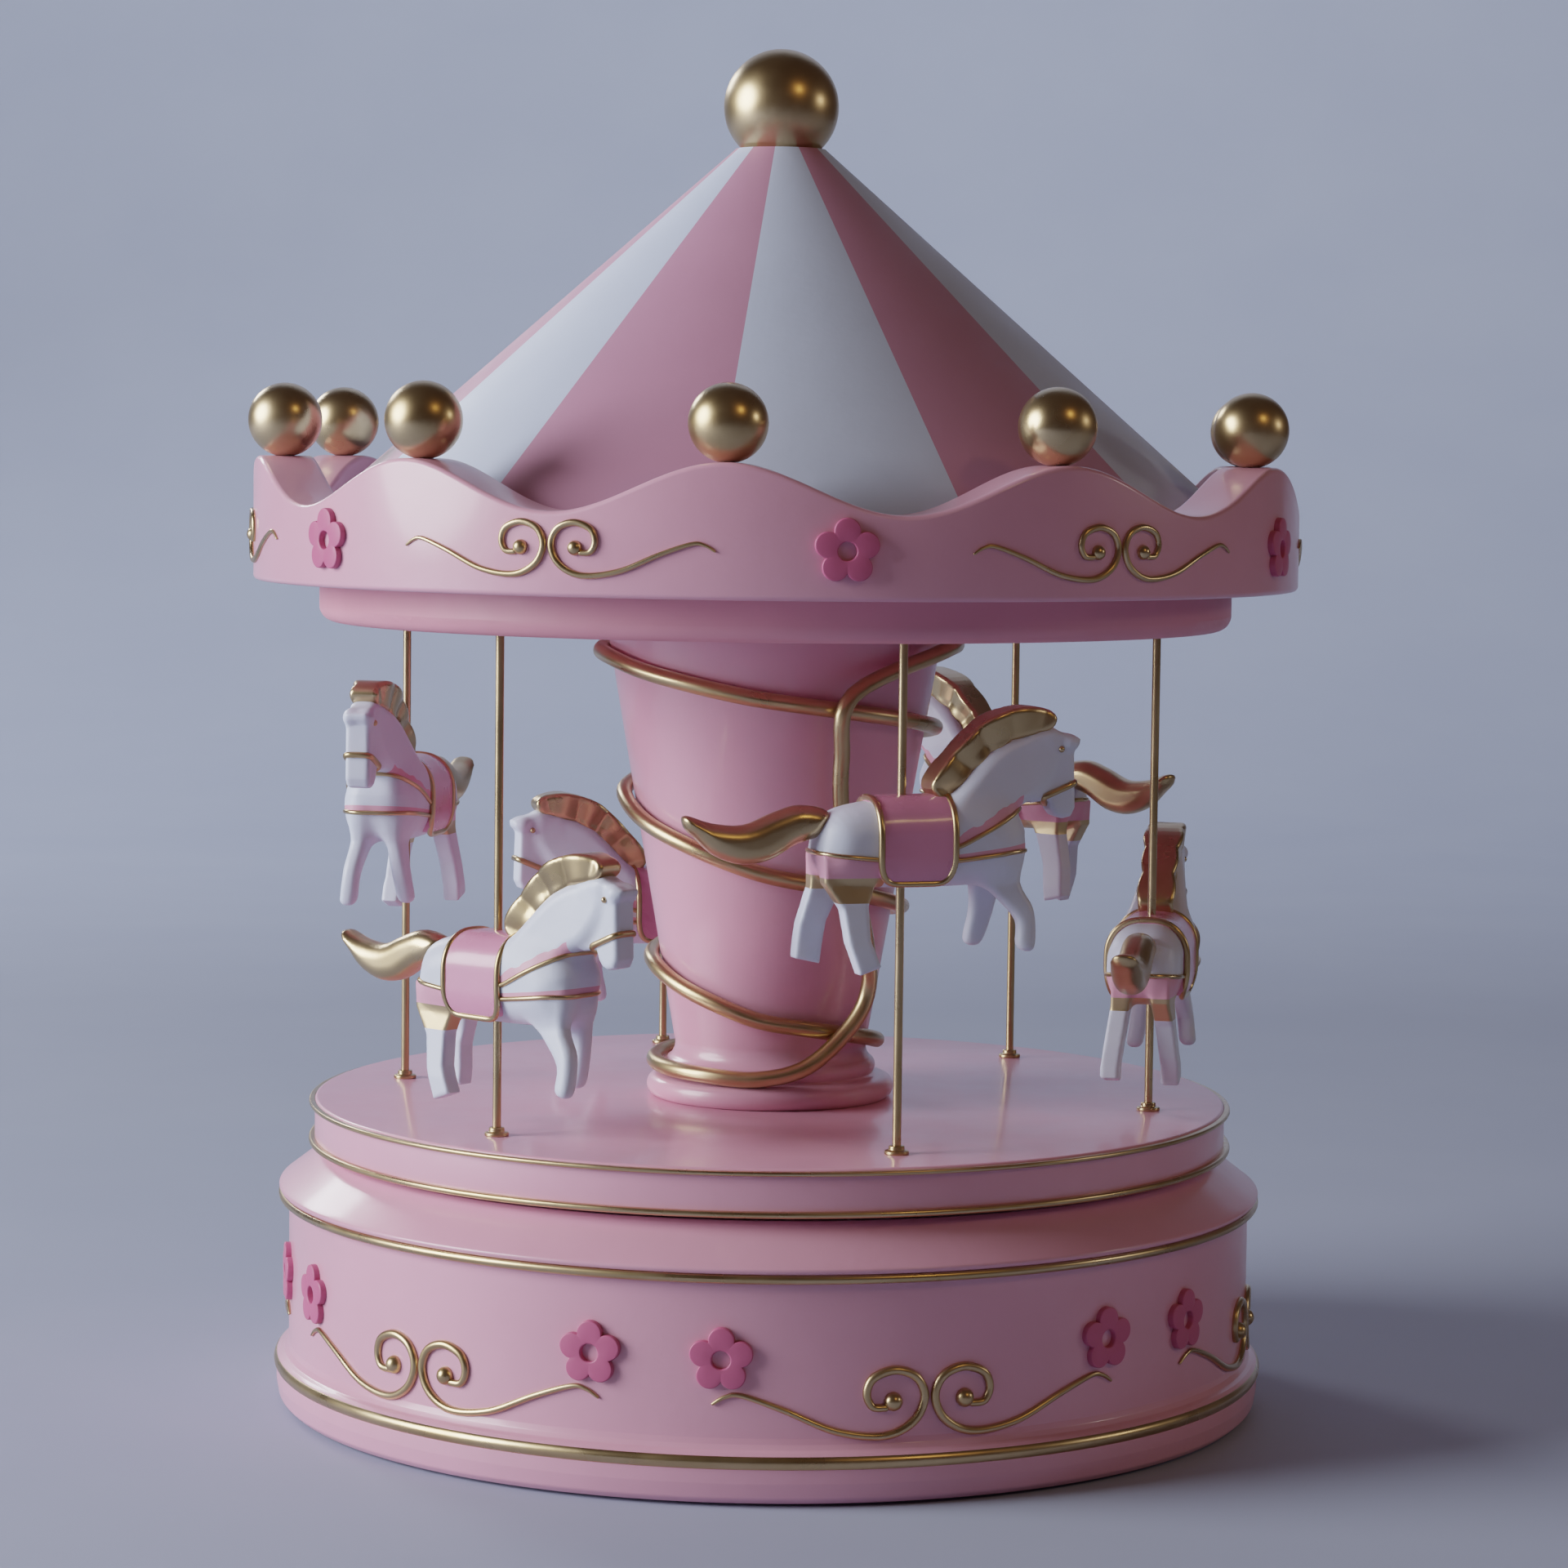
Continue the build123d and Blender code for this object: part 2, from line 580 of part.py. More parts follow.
def roof_cone():
    def outer_z(r):
        return ROOF_TOP_Z - (r - ROOF_TOP_R) / ROOF_SLOPE

    drop = ROOF_T * math.hypot(1, 1 / ROOF_SLOPE)
    low_in = ROOF_LOW_R - 1.5
    return lathe_points(
        (ROOF_LOW_R, 128.8), (ROOF_LOW_R, outer_z(ROOF_LOW_R)), (ROOF_TOP_R, ROOF_TOP_Z),
        (ROD_R + RUN, ROOF_TOP_Z), (ROD_R + RUN, ROOF_TOP_Z - drop),
        (ROOF_TOP_R, ROOF_TOP_Z - drop), (low_in, outer_z(low_in) - drop), (low_in, 128.8),
    )


def finial_ball():
    ball = Pos(0, 0, FINIAL_Z) * Sphere(FINIAL_R) - tube(20, 0, ROOF_TOP_Z - 10, ROOF_TOP_Z)
    return ball - tube(ROD_R, 0, ROOF_TOP_Z - 1, FINIAL_Z + 1)


def tie_rod():
    """Long rod from the spindle to the finial, with a nut that clamps ceiling, column and stage."""
    rod = tube(ROD_R, 0, SPINDLE_TOP_Z, FINIAL_Z + 1)
    nut_z = CEILING_Z + 3
    return rod + Pos(0, 0, nut_z) * extrude(RegularPolygon(4.0, 6), 3.2)


# ---- horses -------------------------------------------------------------
# A horse is drawn about its pole: x forwards, y to its left, z up from the middle of its body.
SADDLE_X = (-4.9, 6.0)
BODY_HALF = 8.8  # half length of the straight part of the body
BODY_R = 5.7
BODY_X = 2.0


def trunk(grow=0.0):
    """Body of the horse: a round-ended rod along X."""
    rod = Pos(BODY_X, 0, 0) * along_x(Cylinder(BODY_R + grow, 2 * BODY_HALF))
    for side in (-1, 1):
        rod += Pos(BODY_X + side * BODY_HALF, 0, 0) * Sphere(BODY_R + grow)
    return rod


def leg(points, y, thickness=2.6):
    return Pos(0, y, 0) * plate(points, thickness)


def horse_blank():
    """Body, neck, head and four legs, without the pole hole."""
    horse = trunk()
    horse += plate([(5.5, 2), (7, 6), (14, 13), (21, 14.6), (24, 12.5), (16, 4), (15.5, 0)], 5.0)
    horse += plate([(19, 14.8), (24.6, 13.4), (24.6, 4.2), (22.8, 3.2), (21, 4), (17.5, 8)], 3.9)
    horse += leg([(-11, -1), (-4, -3), (-5.5, -10), (-4.2, -17.2), (-6.8, -17.6), (-9, -9)], -2.8)
    horse += leg([(-11.5, 0), (-5, -2), (-9.5, -10), (-11.5, -16.6), (-14.6, -15.6), (-12, -8)], 2.8)
    horse += leg([(9, -2), (14, -2), (13, -8), (11.4, -14.6), (8.8, -14.2), (10, -8)], 2.8)
    horse += leg([(11, -2), (16, 0), (18.2, -9.5), (18.1, -14.8), (15, -14.2), (15, -9)], -2.8)
    return horse


def mane_outline():
    return [
        (6.2, 5.6), (3.6, 7.2), (6, 11.5), (9.6, 15.4), (13, 17.6), (16.8, 18.3), (21.6, 17.6),
        (21.6, 14.7), (17, 14.2), (13, 12.2), (9.4, 8.8),
    ]


def mane_tail_blank():
    mane = plate(mane_outline(), 5.2)
    tail = plate(
        [
            (-10.5, 4.4), (-14.5, 5.2), (-18.5, 3.7), (-23, 1.6), (-27.5, 2.2), (-31.2, 4.0),
            (-29.5, 0.2), (-25.5, -2.0), (-20, -2.2), (-15.5, -0.2), (-11.5, 0.8),
        ],
        4.0,
    )
    return mane + tail


def saddle_blank():
    shell = trunk(0.6) & box(*SADDLE_X, -10, 10, -5.6, 10)
    return shell - trunk(0.02)


def horse_pieces():
    """The three glued pieces of one horse, each bored for its pole."""
    bore = tube(POLE_R, 0, -20, 20)
    blank = horse_blank()
    saddle = saddle_blank() - blank - bore
    mane_tail = mane_tail_blank() - blank - trunk(0.7)
    return {"horse": blank - bore, "saddle": saddle, "mane_tail": mane_tail}


def pole(drop):
    """Pole with the follower stub that faces the cam; the stub stops just short of the cam wall."""
    low, high = POLE_LOW_Z - drop, POLE_TOP_Z - drop
    rod = tube(POLE_R, 0, low, high)
    stub = box(-0.4, 0.4, -(CAM_IN_R - POLE_RING_R - 0.25), 0, low + 0.1, low + 0.9)
    return rod + stub


def horse_sets():
    """Nodes of all six horses: every second one stands at the bottom of its travel."""
    pieces = horse_pieces()
    nodes = {}
    for i, phi in enumerate(ring_of(HORSES, POLE_PHASE)):
        drop = TRAVEL if i % 2 else 0.0
        nodes[f"pole_{i + 1}"] = at_angle(phi, POLE_RING_R, 0) * pole(drop)
        for name, shape in pieces.items():
            nodes[f"{name}_{i + 1}"] = at_angle(phi, POLE_RING_R, HORSE_HIGH_Z - drop) * shape
    return nodes


# ---- write every piece --------------------------------------------------
PIECES = [
    base_shell, base_plate, base_plate_screws, foot_pad, foot_trim_ring, shoulder_trim_ring,
    base_flowers, base_scrolls, cam_track, bearing_bridge, spindle_bush, movement_bedplate,
    music_comb, movement_screws, cylinder_brackets, governor_frame, spring_barrel, mainspring,
    pin_cylinder, governor_fly, winding_arbor, winding_key, stage_platform, stage_trim_rings,
    centre_column, column_vine, canopy_ceiling, pole_bushes, crown_rim, crown_balls,
    crown_flowers, crown_scrolls, roof_cone, finial_ball, tie_rod,
]


def main():
    os.makedirs("parts", exist_ok=True)
    nodes = {make.__name__: make() for make in PIECES}
    nodes.update(horse_sets())
    for name, shape in nodes.items():
        export_step(shape, f"parts/{name}.step")


main()
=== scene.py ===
"""Looks of the carousel music box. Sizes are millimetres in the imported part's own frame."""
import json
import math

import bmesh
import bpy
import numpy as np
from mathutils import Matrix, Vector


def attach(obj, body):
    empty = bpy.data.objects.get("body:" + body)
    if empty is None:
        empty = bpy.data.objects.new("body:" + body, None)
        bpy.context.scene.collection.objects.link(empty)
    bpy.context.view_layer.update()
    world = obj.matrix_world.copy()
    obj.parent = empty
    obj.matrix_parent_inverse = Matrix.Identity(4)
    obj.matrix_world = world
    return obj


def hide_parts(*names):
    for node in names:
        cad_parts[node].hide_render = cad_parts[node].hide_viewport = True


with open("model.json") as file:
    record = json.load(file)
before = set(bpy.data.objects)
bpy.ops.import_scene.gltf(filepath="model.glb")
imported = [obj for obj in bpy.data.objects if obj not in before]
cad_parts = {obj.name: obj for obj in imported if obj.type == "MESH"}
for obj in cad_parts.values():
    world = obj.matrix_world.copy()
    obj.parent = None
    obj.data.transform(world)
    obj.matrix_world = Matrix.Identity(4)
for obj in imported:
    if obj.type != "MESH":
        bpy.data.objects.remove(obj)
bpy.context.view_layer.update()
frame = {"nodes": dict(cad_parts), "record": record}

MM = 0.001
TAU = 2 * math.pi
SHARP = math.radians(40)  # edges sharper than this stay crisp
SOFT_SHARP = math.radians(60)  # the same for the horses' moulded forms
ROUND = 320  # segments of the large lathe-turned shells

# ---- driving dimensions -------------------------------------------------
DRUM_R = 71.3  # wall of the base
CROWN_R, CROWN_IN_R = 76.8, 68.6
CROWN_LOW_Z, CROWN_MEAN_Z, WAVE, WAVES = 121.3, 135.95, 3.35, 10
BALL_PHASE = -5.0
BALL_R, BALL_RING_R, BALL_Z = 5.32, 72.7, 144.45
ROOF_LOW_R, ROOF_TOP_R, ROOF_TOP_Z, ROOF_SLOPE = 68.4, 6.6, 184.95, 1.134
GORES, GORE_PHASE = 12, -7.3
FINIAL_R, FINIAL_Z = 8.45, 191.1
STAGE_R, STAGE_TOP_Z = 67.6, 45.0
ROD_HOLE_R = 2.05  # for the tie rod through stage and roof
COLUMN_LOW_R, COLUMN_LOW_Z, COLUMN_SLOPE = 14.4, 53.9, 0.1727
CEILING_Z = 115.3
ORNAMENT_GROUPS = 6  # flowers and scrolls repeat round the object
HORSES, POLE_PHASE, POLE_RING_R = 6, 18.0, 56.8
HORSE_HIGH_Z, TRAVEL = 88.0, 20.5
SADDLE_FRONT, SADDLE_REAR, SADDLE_LOW = 6.0, -4.9, -5.0
BREECHES_Z, BREECHES_LENGTH = -4.5, 3.4  # painted gold breeches on the hind legs

# Slanting lines of the harness in a horse's own x-z plane, rear end first.
UPPER_STRAP = ((6.0, -0.6), (16.4, 4.6))
LOWER_STRAP = ((6.0, -2.3), (15.0, -1.2))
RUMP_STRAP = ((-13.3, -1.1), (-4.5, -2.0))
NOSE_STRAP = ((17.0, 4.7), (25.1, 8.05))


# ---- mesh helpers -------------------------------------------------------
def piece(name, verts, faces, material, body, slot, nodes=(), place=None, sharp=SHARP):
    """A mesh object from millimetre points, riding on a body and standing for CAD nodes."""
    mesh = bpy.data.meshes.new(name)
    mesh.from_pydata((np.asarray(verts, float) * MM).tolist(), [], faces)
    work = bmesh.new()
    work.from_mesh(mesh)
    bmesh.ops.remove_doubles(work, verts=work.verts, dist=1e-7)
    bmesh.ops.recalc_face_normals(work, faces=work.faces)
    work.to_mesh(mesh)
    work.free()
    mesh.shade_smooth()
    mesh.set_sharp_from_angle(angle=sharp)
    mesh.materials.append(material)
    return show(name, mesh, body, nodes, place)


def show(name, mesh, body, nodes=(), place=None):
    obj = bpy.data.objects.new(name, mesh)
    bpy.context.scene.collection.objects.link(obj)
    if place is not None:
        obj.matrix_world = place
    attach(obj, body)
    if nodes:
        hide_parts(*nodes)
    return obj


def combine(parts):
    """Join (points, faces) pairs into one."""
    verts, faces, base = [], [], 0
    for v, f in parts:
        verts.append(np.asarray(v, float))
        faces += [tuple(i + base for i in face) for face in f]
        base += len(v)
    return np.vstack(verts), faces


def arc(p0, middle, p1, steps=10):
    """Points of the arc through three (radius, height) points."""
    (x0, y0), (x1, y1), (x2, y2) = p0, middle, p1
    d = 2 * (x0 * (y1 - y2) + x1 * (y2 - y0) + x2 * (y0 - y1))
    q0, q1, q2 = x0 * x0 + y0 * y0, x1 * x1 + y1 * y1, x2 * x2 + y2 * y2
    cx = (q0 * (y1 - y2) + q1 * (y2 - y0) + q2 * (y0 - y1)) / d
    cy = (q0 * (x2 - x1) + q1 * (x0 - x2) + q2 * (x1 - x0)) / d
    a0, am, a1 = (math.atan2(y - cy, x - cx) for x, y in (p0, middle, p1))
    sweep = (a1 - a0) % TAU
    if (am - a0) % TAU > sweep:
        sweep -= TAU
    r = math.hypot(x0 - cx, y0 - cy)
    angles = [a0 + sweep * i / steps for i in range(steps + 1)]
    return [(cx + r * math.cos(a), cy + r * math.sin(a)) for a in angles]


def rounded(corners, steps=5):
    """Closed outline whose (x, y, radius) corners are rounded; a radius of 0 stays as it is."""
    out = []
    for i, (x, y, r) in enumerate(corners):
        here = np.array((x, y), float)
        before = np.array(corners[i - 1][:2], float) - here
        after = np.array(corners[(i + 1) % len(corners)][:2], float) - here
        lb, la = np.linalg.norm(before), np.linalg.norm(after)
        before, after = before / lb, after / la
        half = math.acos(float(np.clip(before @ after, -1, 1))) / 2
        if r == 0 or half > math.radians(88):
            out.append((x, y))
            continue
        cut = min(r / math.tan(half), 0.49 * lb, 0.49 * la)
        r = cut * math.tan(half)
        mid = here + (before + after) / np.linalg.norm(before + after) * (r / math.sin(half) - r)
        out += arc(tuple(here + before * cut), tuple(mid), tuple(here + after * cut), steps)
    return out


def lathe(outline, segments=256):
    """Closed (radius, height) outline turned about Z."""
    outline = np.asarray(outline, float)
    a = np.linspace(0, TAU, segments, endpoint=False)
    r, z = outline[:, 0], outline[:, 1]
    verts = np.stack([np.outer(np.cos(a), r), np.outer(np.sin(a), r), np.tile(z, (segments, 1))], 2)
    return verts.reshape(-1, 3), grid_faces(segments, len(outline))


def grid_faces(rows, columns, wrap_rows=True):
    """Quads of a grid whose columns close on themselves."""
    faces = []
    for i in range(rows if wrap_rows else rows - 1):
        j = (i + 1) % rows
        for k in range(columns):
            m = (k + 1) % columns
            faces.append((i * columns + k, j * columns + k, j * columns + m, i * columns + m))
    return faces


def smooth_path(points, per=8, closed=False):
    """Catmull-Rom curve through the points."""
    p = np.asarray(points, float)
    count = len(p)
    spans = count if closed else count - 1

    def at(i):
        return p[i % count] if closed else p[min(max(i, 0), count - 1)]

    out = []
    for i in range(spans):
        a, b, c, d = at(i - 1), at(i), at(i + 1), at(i + 2)
        for j in range(per):
            t = j / per
            out.append(0.5 * (2 * b + (c - a) * t + (2 * a - 5 * b + 4 * c - d) * t ** 2
                              + (3 * b - a - 3 * c + d) * t ** 3))
    if not closed:
        out.append(p[-1])
    return np.array(out)


def tube(path, radius, sides=14, closed=False):
    """Round wire along a path; radius is one number or one per point, and open ends are domed."""
    path = np.asarray(path, float)
    radii = np.broadcast_to(np.asarray(radius, float), (len(path),)).copy()
    if closed:
        tangents = np.roll(path, -1, 0) - np.roll(path, 1, 0)
    else:
        tangents = np.gradient(path, axis=0)
    tangents /= np.linalg.norm(tangents, axis=1)[:, None]
    normal = np.cross(tangents[0], (0.31, 0.17, 0.93))
    frames = []
    for t in tangents:
        normal = normal - (normal @ t) * t
        normal = normal / np.linalg.norm(normal)
        frames.append(normal)
    frames = np.array(frames)
    if closed:  # spread the leftover twist along the wire
        last = frames[-1] - (frames[-1] @ tangents[0]) * tangents[0]
        side = np.cross(tangents[0], frames[0])
        twist = math.atan2(last @ side, last @ frames[0])
        share = -twist * np.arange(len(path)) / len(path)
        frames = (frames * np.cos(share)[:, None]
                  + np.cross(tangents, frames) * np.sin(share)[:, None])
    rows = [(path[i], frames[i], tangents[i], radii[i]) for i in range(len(path))]
    if not closed:
        rows = dome(rows[0], -1)[::-1] + rows + dome(rows[-1], 1)
    a = np.linspace(0, TAU, sides, endpoint=False)
    verts = []
    for centre, n, t, r in rows:
        b = np.cross(t, n)
        verts.append(centre + r * (np.cos(a)[:, None] * n + np.sin(a)[:, None] * b))
    verts = np.vstack(verts)
    faces = grid_faces(len(rows), sides, closed)
    if not closed:
        faces.append(tuple(range(sides))[::-1])
        faces.append(tuple(range((len(rows) - 1) * sides, len(rows) * sides)))
    return verts, faces


def dome(row, direction):
    """Rings that round off the end of a wire."""
    centre, n, t, r = row
    angles = [math.radians(a) for a in (25, 50, 72, 86)]
    return [(centre + direction * r * math.sin(a) * t, n, t, r * math.cos(a)) for a in angles]


def turned(part, phi):
    """Turn (points, faces) about Z by phi degrees."""
    verts, faces = part
    a = math.radians(phi)
    turn = np.array([[math.cos(a), -math.sin(a), 0], [math.sin(a), math.cos(a), 0], [0, 0, 1]])
    return np.asarray(verts) @ turn.T, faces


def moved(part, offset):
    return np.asarray(part[0], float) + np.asarray(offset, float), part[1]


def ring_of(count, phase=0.0):
    return [phase + i * 360.0 / count for i in range(count)]


def on_wall(u, v, radius, z):
    """Points u along the wall and v up it, at a radius, around phi = 0."""
    u, v, radius = np.broadcast_arrays(np.asarray(u, float), np.asarray(v, float), radius)
    a = u / radius
    return np.stack([radius * np.sin(a), -radius * np.cos(a), z + v], -1)


# ---- materials ----------------------------------------------------------
class Nodes:
    """Short way to write a node tree."""

    def __init__(self, name):
        self.material = bpy.data.materials.new(name)
        self.material.use_nodes = True
        self.tree = self.material.node_tree
        self.shader = self.tree.nodes["Principled BSDF"]
        self.place = self.tree.nodes.new("ShaderNodeTexCoord").outputs["Object"]
        self.x, self.y, self.z = self.add("ShaderNodeSeparateXYZ", Vector=self.place).outputs

    def add(self, kind, **inputs):
        node = self.tree.nodes.new(kind)
        for name, value in inputs.items():
            self.put(node, name, value)
        return node

    def put(self, node, name, value):
        if name.startswith("i") and name[1:].isdigit():
            socket = node.inputs[int(name[1:])]
        else:
            socket = node.inputs[name.replace("_", " ")]
        if isinstance(value, bpy.types.NodeSocket):
            self.tree.links.new(value, socket)
        else:
            socket.default_value = value

    def math(self, operation, a, b=0.0):
        node = self.add("ShaderNodeMath", i0=a, i1=b)
        node.operation = operation
        return node.outputs[0]

    def between(self, value, low, high):
        """1 where low < value < high."""
        above = self.math("GREATER_THAN", value, low)
        return self.math("MULTIPLY", above, self.math("LESS_THAN", value, high))

    def noise(self, scale, detail=3.0, rough=0.55, vector=None):
        node = self.add("ShaderNodeTexNoise", Vector=vector or self.place, Scale=scale)
        node.inputs["Detail"].default_value = detail
        node.inputs["Roughness"].default_value = rough
        return node.outputs["Fac"]

    def span(self, value, low, high, start=0.35, end=0.65):
        """Map a noise value onto low..high."""
        node = self.add("ShaderNodeMapRange", Value=value)
        for name, number in (("From Min", start), ("From Max", end), ("To Min", low), ("To Max", high)):
            node.inputs[name].default_value = number
        return node.outputs["Result"]

    def mix(self, share, a, b):
        node = self.tree.nodes.new("ShaderNodeMix")
        node.data_type = "RGBA"
        self.put(node, "i0", share)
        self.put(node, "i6", a)
        self.put(node, "i7", b)
        return node.outputs[2]

    def bump(self, height, distance, strength=1.0, under=None):
        node = self.add("ShaderNodeBump", Height=height, Strength=strength, Distance=distance)
        if under is not None:
            self.put(node, "Normal", under)
        return node.outputs["Normal"]


def rgb(red, green, blue):
    """Linear colour from 0-255 screen values."""
    def linear(c):
        c /= 255
        return c / 12.92 if c <= 0.04045 else ((c + 0.055) / 1.055) ** 2.4
    return linear(red), linear(green), linear(blue), 1.0


def shade(colour, factor):
    return tuple(min(1.0, c * factor) for c in colour[:3]) + (1.0,)


def plastic(name, colour, rough, coat=0.0, grain=0.004, colour_socket=None, spread=0.06):
    """Moulded, spray-painted plastic: faint mottling, uneven gloss and orange peel."""
    n = Nodes(name)
    cloud = n.noise(28.0, 4.0)
    base = colour_socket(n) if colour_socket else colour
    if colour_socket:
        white = (1.0, 1.0, 1.0, 1.0)
        base = n.mix(1.0, base, n.mix(n.span(cloud, 0.0, 1.0), shade(white, 1 - spread), white))
        base.node.blend_type = "MULTIPLY"
    else:
        base = n.mix(n.span(cloud, 0.0, 1.0), shade(colour, 1 - spread), shade(colour, 1 + spread / 2))
    n.put(n.shader, "Base Color", base)
    smear = n.noise(90.0, 5.0, 0.6)
    n.put(n.shader, "Roughness", n.span(smear, rough * 0.88, rough * 1.14))
    n.put(n.shader, "IOR", 1.48)
    n.put(n.shader, "Coat Weight", coat)
    n.put(n.shader, "Coat Roughness", 0.12)
    peel = n.bump(n.noise(900.0, 2.0), grain * MM * 8, 0.5)
    n.put(n.shader, "Normal", n.bump(n.noise(160.0, 2.0), grain * MM * 30, 0.35, peel))
    return n.material


def metal(name, colour, rough, deep, brushed=None):
    """Metal paint or bare metal whose tone drifts to a deeper colour; bare metal may be brushed."""
    n = Nodes(name)
    drift = n.noise(60.0, 4.0)
    n.put(n.shader, "Base Color", n.mix(n.span(drift, 0.0, 1.0), colour, deep))
    n.put(n.shader, "Metallic", 1.0)
    n.put(n.shader, "Roughness", n.span(n.noise(110.0, 3.0), rough * 0.85, rough * 1.2))
    if brushed:  # fine scratches drawn out along one axis
        stretch = n.add("ShaderNodeMapping", Vector=n.place, Scale=brushed).outputs["Vector"]
        n.put(n.shader, "Normal", n.bump(n.noise(1.0, 3.0, 0.6, stretch), 0.009 * MM, 0.3))
    return n.material


PINK = rgb(223, 161, 183)
GOLD, DEEP_GOLD = (0.60, 0.45, 0.26, 1.0), (0.48, 0.34, 0.17, 1.0)
WHITE = rgb(213, 219, 238)


def roof_colour(n):
    """Painted gores, alternately dusty rose and cool white."""
    angle = n.math("ARCTAN2", n.x, n.math("MULTIPLY", n.y, -1.0))
    gore = n.math("MULTIPLY", angle, GORES / TAU)
    gore = n.math("ADD", gore, 2 * GORES - GORE_PHASE * GORES / 360.0)  # never negative
    rose = n.math("GREATER_THAN", n.math("MODULO", gore, 2.0), 1.0)
    return n.mix(rose, rgb(197, 207, 234), rgb(190, 135, 162))


def horse_colour(n):
    """White body, pink harness bands above the gold cords, pink rump cloth and gold breeches."""
    x, y, z = (n.math("MULTIPLY", socket, 1 / MM) for socket in (n.x, n.y, n.z))
    chest_x, saddle_x, head_x, back_z = 5.0, -3.6, 16.6, 9.0

    def over_line(line):
        (x0, z0), (x1, z1) = line
        slope = (z1 - z0) / (x1 - x0)
        return n.math("SUBTRACT", z, n.math("ADD", n.math("MULTIPLY", x, slope), z0 - slope * x0))

    wobble = n.span(n.noise(420.0, 1.0), -0.25, 0.25)
    upper = n.between(n.math("ADD", over_line(UPPER_STRAP), wobble), 0.0, 1.5)
    upper = n.math("MULTIPLY", upper, n.between(x, chest_x, head_x))
    lower = n.between(over_line(LOWER_STRAP), 0.0, 0.85)
    lower = n.math("MULTIPLY", lower, n.math("GREATER_THAN", x, chest_x))
    behind = n.math("LESS_THAN", x, saddle_x)
    rump = n.between(z, BREECHES_Z, back_z)
    rump = n.math("MULTIPLY", rump, n.math("LESS_THAN", over_line(RUMP_STRAP), 0.0))
    rump = n.math("MULTIPLY", rump, behind)
    pink = n.math("MAXIMUM", n.math("MAXIMUM", upper, lower), rump)
    far_leg = n.math("MULTIPLY", n.math("GREATER_THAN", y, 0.0), 1.5)
    hem = n.math("SUBTRACT", far_leg, BREECHES_LENGTH - BREECHES_Z)
    gold = n.math("LESS_THAN", z, BREECHES_Z)
    gold = n.math("MULTIPLY", gold, n.math("GREATER_THAN", z, hem))
    gold = n.math("MULTIPLY", gold, behind)
    n.put(n.shader, "Metallic", gold)
    return n.mix(gold, n.mix(pink, WHITE, rgb(222, 160, 182)), GOLD)


def felt():
    n = Nodes("grey_felt")
    fibres = n.noise(1800.0, 6.0, 0.75)
    colour = n.mix(n.span(fibres, 0.0, 1.0), rgb(82, 78, 84), rgb(140, 134, 142))
    n.put(n.shader, "Base Color", colour)
    n.put(n.shader, "Roughness", 0.95)
    n.put(n.shader, "Sheen Weight", 0.4)
    n.put(n.shader, "Normal", n.bump(fibres, 0.15 * MM, 0.8))
    return n.material


TURNED, DRAWN = (60.0, 60.0, 4000.0), (3000.0, 60.0, 60.0)  # noise scales along x, y and z
MATERIALS = {
    "pink_shell": plastic("blush_pink_plastic", PINK, 0.34, coat=0.4),
    "gold_trim": metal("satin_gold", GOLD, 0.30, DEEP_GOLD),
    "rose_plastic": plastic("rose_plastic", rgb(194, 96, 132), 0.42),
    "striped_roof": plastic("striped_roof_paint", PINK, 0.50, colour_socket=roof_colour, coat=0.0),
    "white_plastic": plastic("horse_paint", WHITE, 0.40, colour_socket=horse_colour, spread=0.03),
    "saddle_pink": plastic("saddle_pink_gloss", rgb(211, 139, 169), 0.28, coat=0.35),
    "plain_plastic": plastic("plain_pink_plastic", shade(PINK, 0.85), 0.5, grain=0.012),
    "movement_brass": metal("turned_brass", rgb(214, 178, 110), 0.28, rgb(176, 136, 76), TURNED),
    "movement_steel": metal("brushed_steel", rgb(196, 198, 204), 0.3, rgb(150, 152, 160), DRAWN),
    "cast_zinc": metal("cast_zinc", rgb(150, 152, 156), 0.5, rgb(118, 120, 126)),
    "felt": felt(),
}
# Canopy ceiling pink, redder than the shell: the plastic's own pink plus a painted reflection of the pink
# stage below it.
CEILING_PINK_WITH_PAINTED_BOUNCE = plastic("ceiling_pink_with_painted_bounce", rgb(226, 152, 168), 0.5)


# ---- lathe-turned shells ------------------------------------------------
def base_case():
    outline = [
        (70.6, 0.5, 0.15), (71.9, 0.5, 0.4), (72.75, 1.3, 0.9), (73.1, 3.4, 1.5), (73.1, 7.1, 0.35),
        (72.55, 7.5, 0.3), (71.95, 7.75, 0.5), (71.5, 8.4, 0.5), (DRUM_R, 9.2, 0.5), (DRUM_R, 31.6, 0.15),
        (72.55, 31.55, 0.35), (72.9, 32.2, 0.4), (72.1, 32.8, 0.6), (66.3, 37.2, 0.4), (65.6, 37.6, 0.3),
        (64.5, 37.6, 0.2), (64.5, 34.3, 0.2), (66.9, 34.3, 0.2), (69.3, 31.9, 0.2),
        (69.3, 3.0, 0.2), (70.6, 3.0, 0.1),
    ]
    piece("base_case", *lathe(rounded(outline), ROUND), MATERIALS["pink_shell"], "base", "pink_shell",
          ["base_shell"])


def wire_ring(radius, wire, z):
    a = np.linspace(0, TAU, 20, endpoint=False)
    return lathe(np.stack([radius + wire * np.cos(a), z + wire * np.sin(a)], 1), ROUND)


def stage_band(out_r, low_z, high_z, edge):
    """Flat band round the stage's wall, with rounded outer edges."""
    return lathe(rounded([
        (STAGE_R, low_z, 0), (out_r, low_z, edge), (out_r, high_z, edge), (STAGE_R, high_z, 0),
    ]), ROUND)


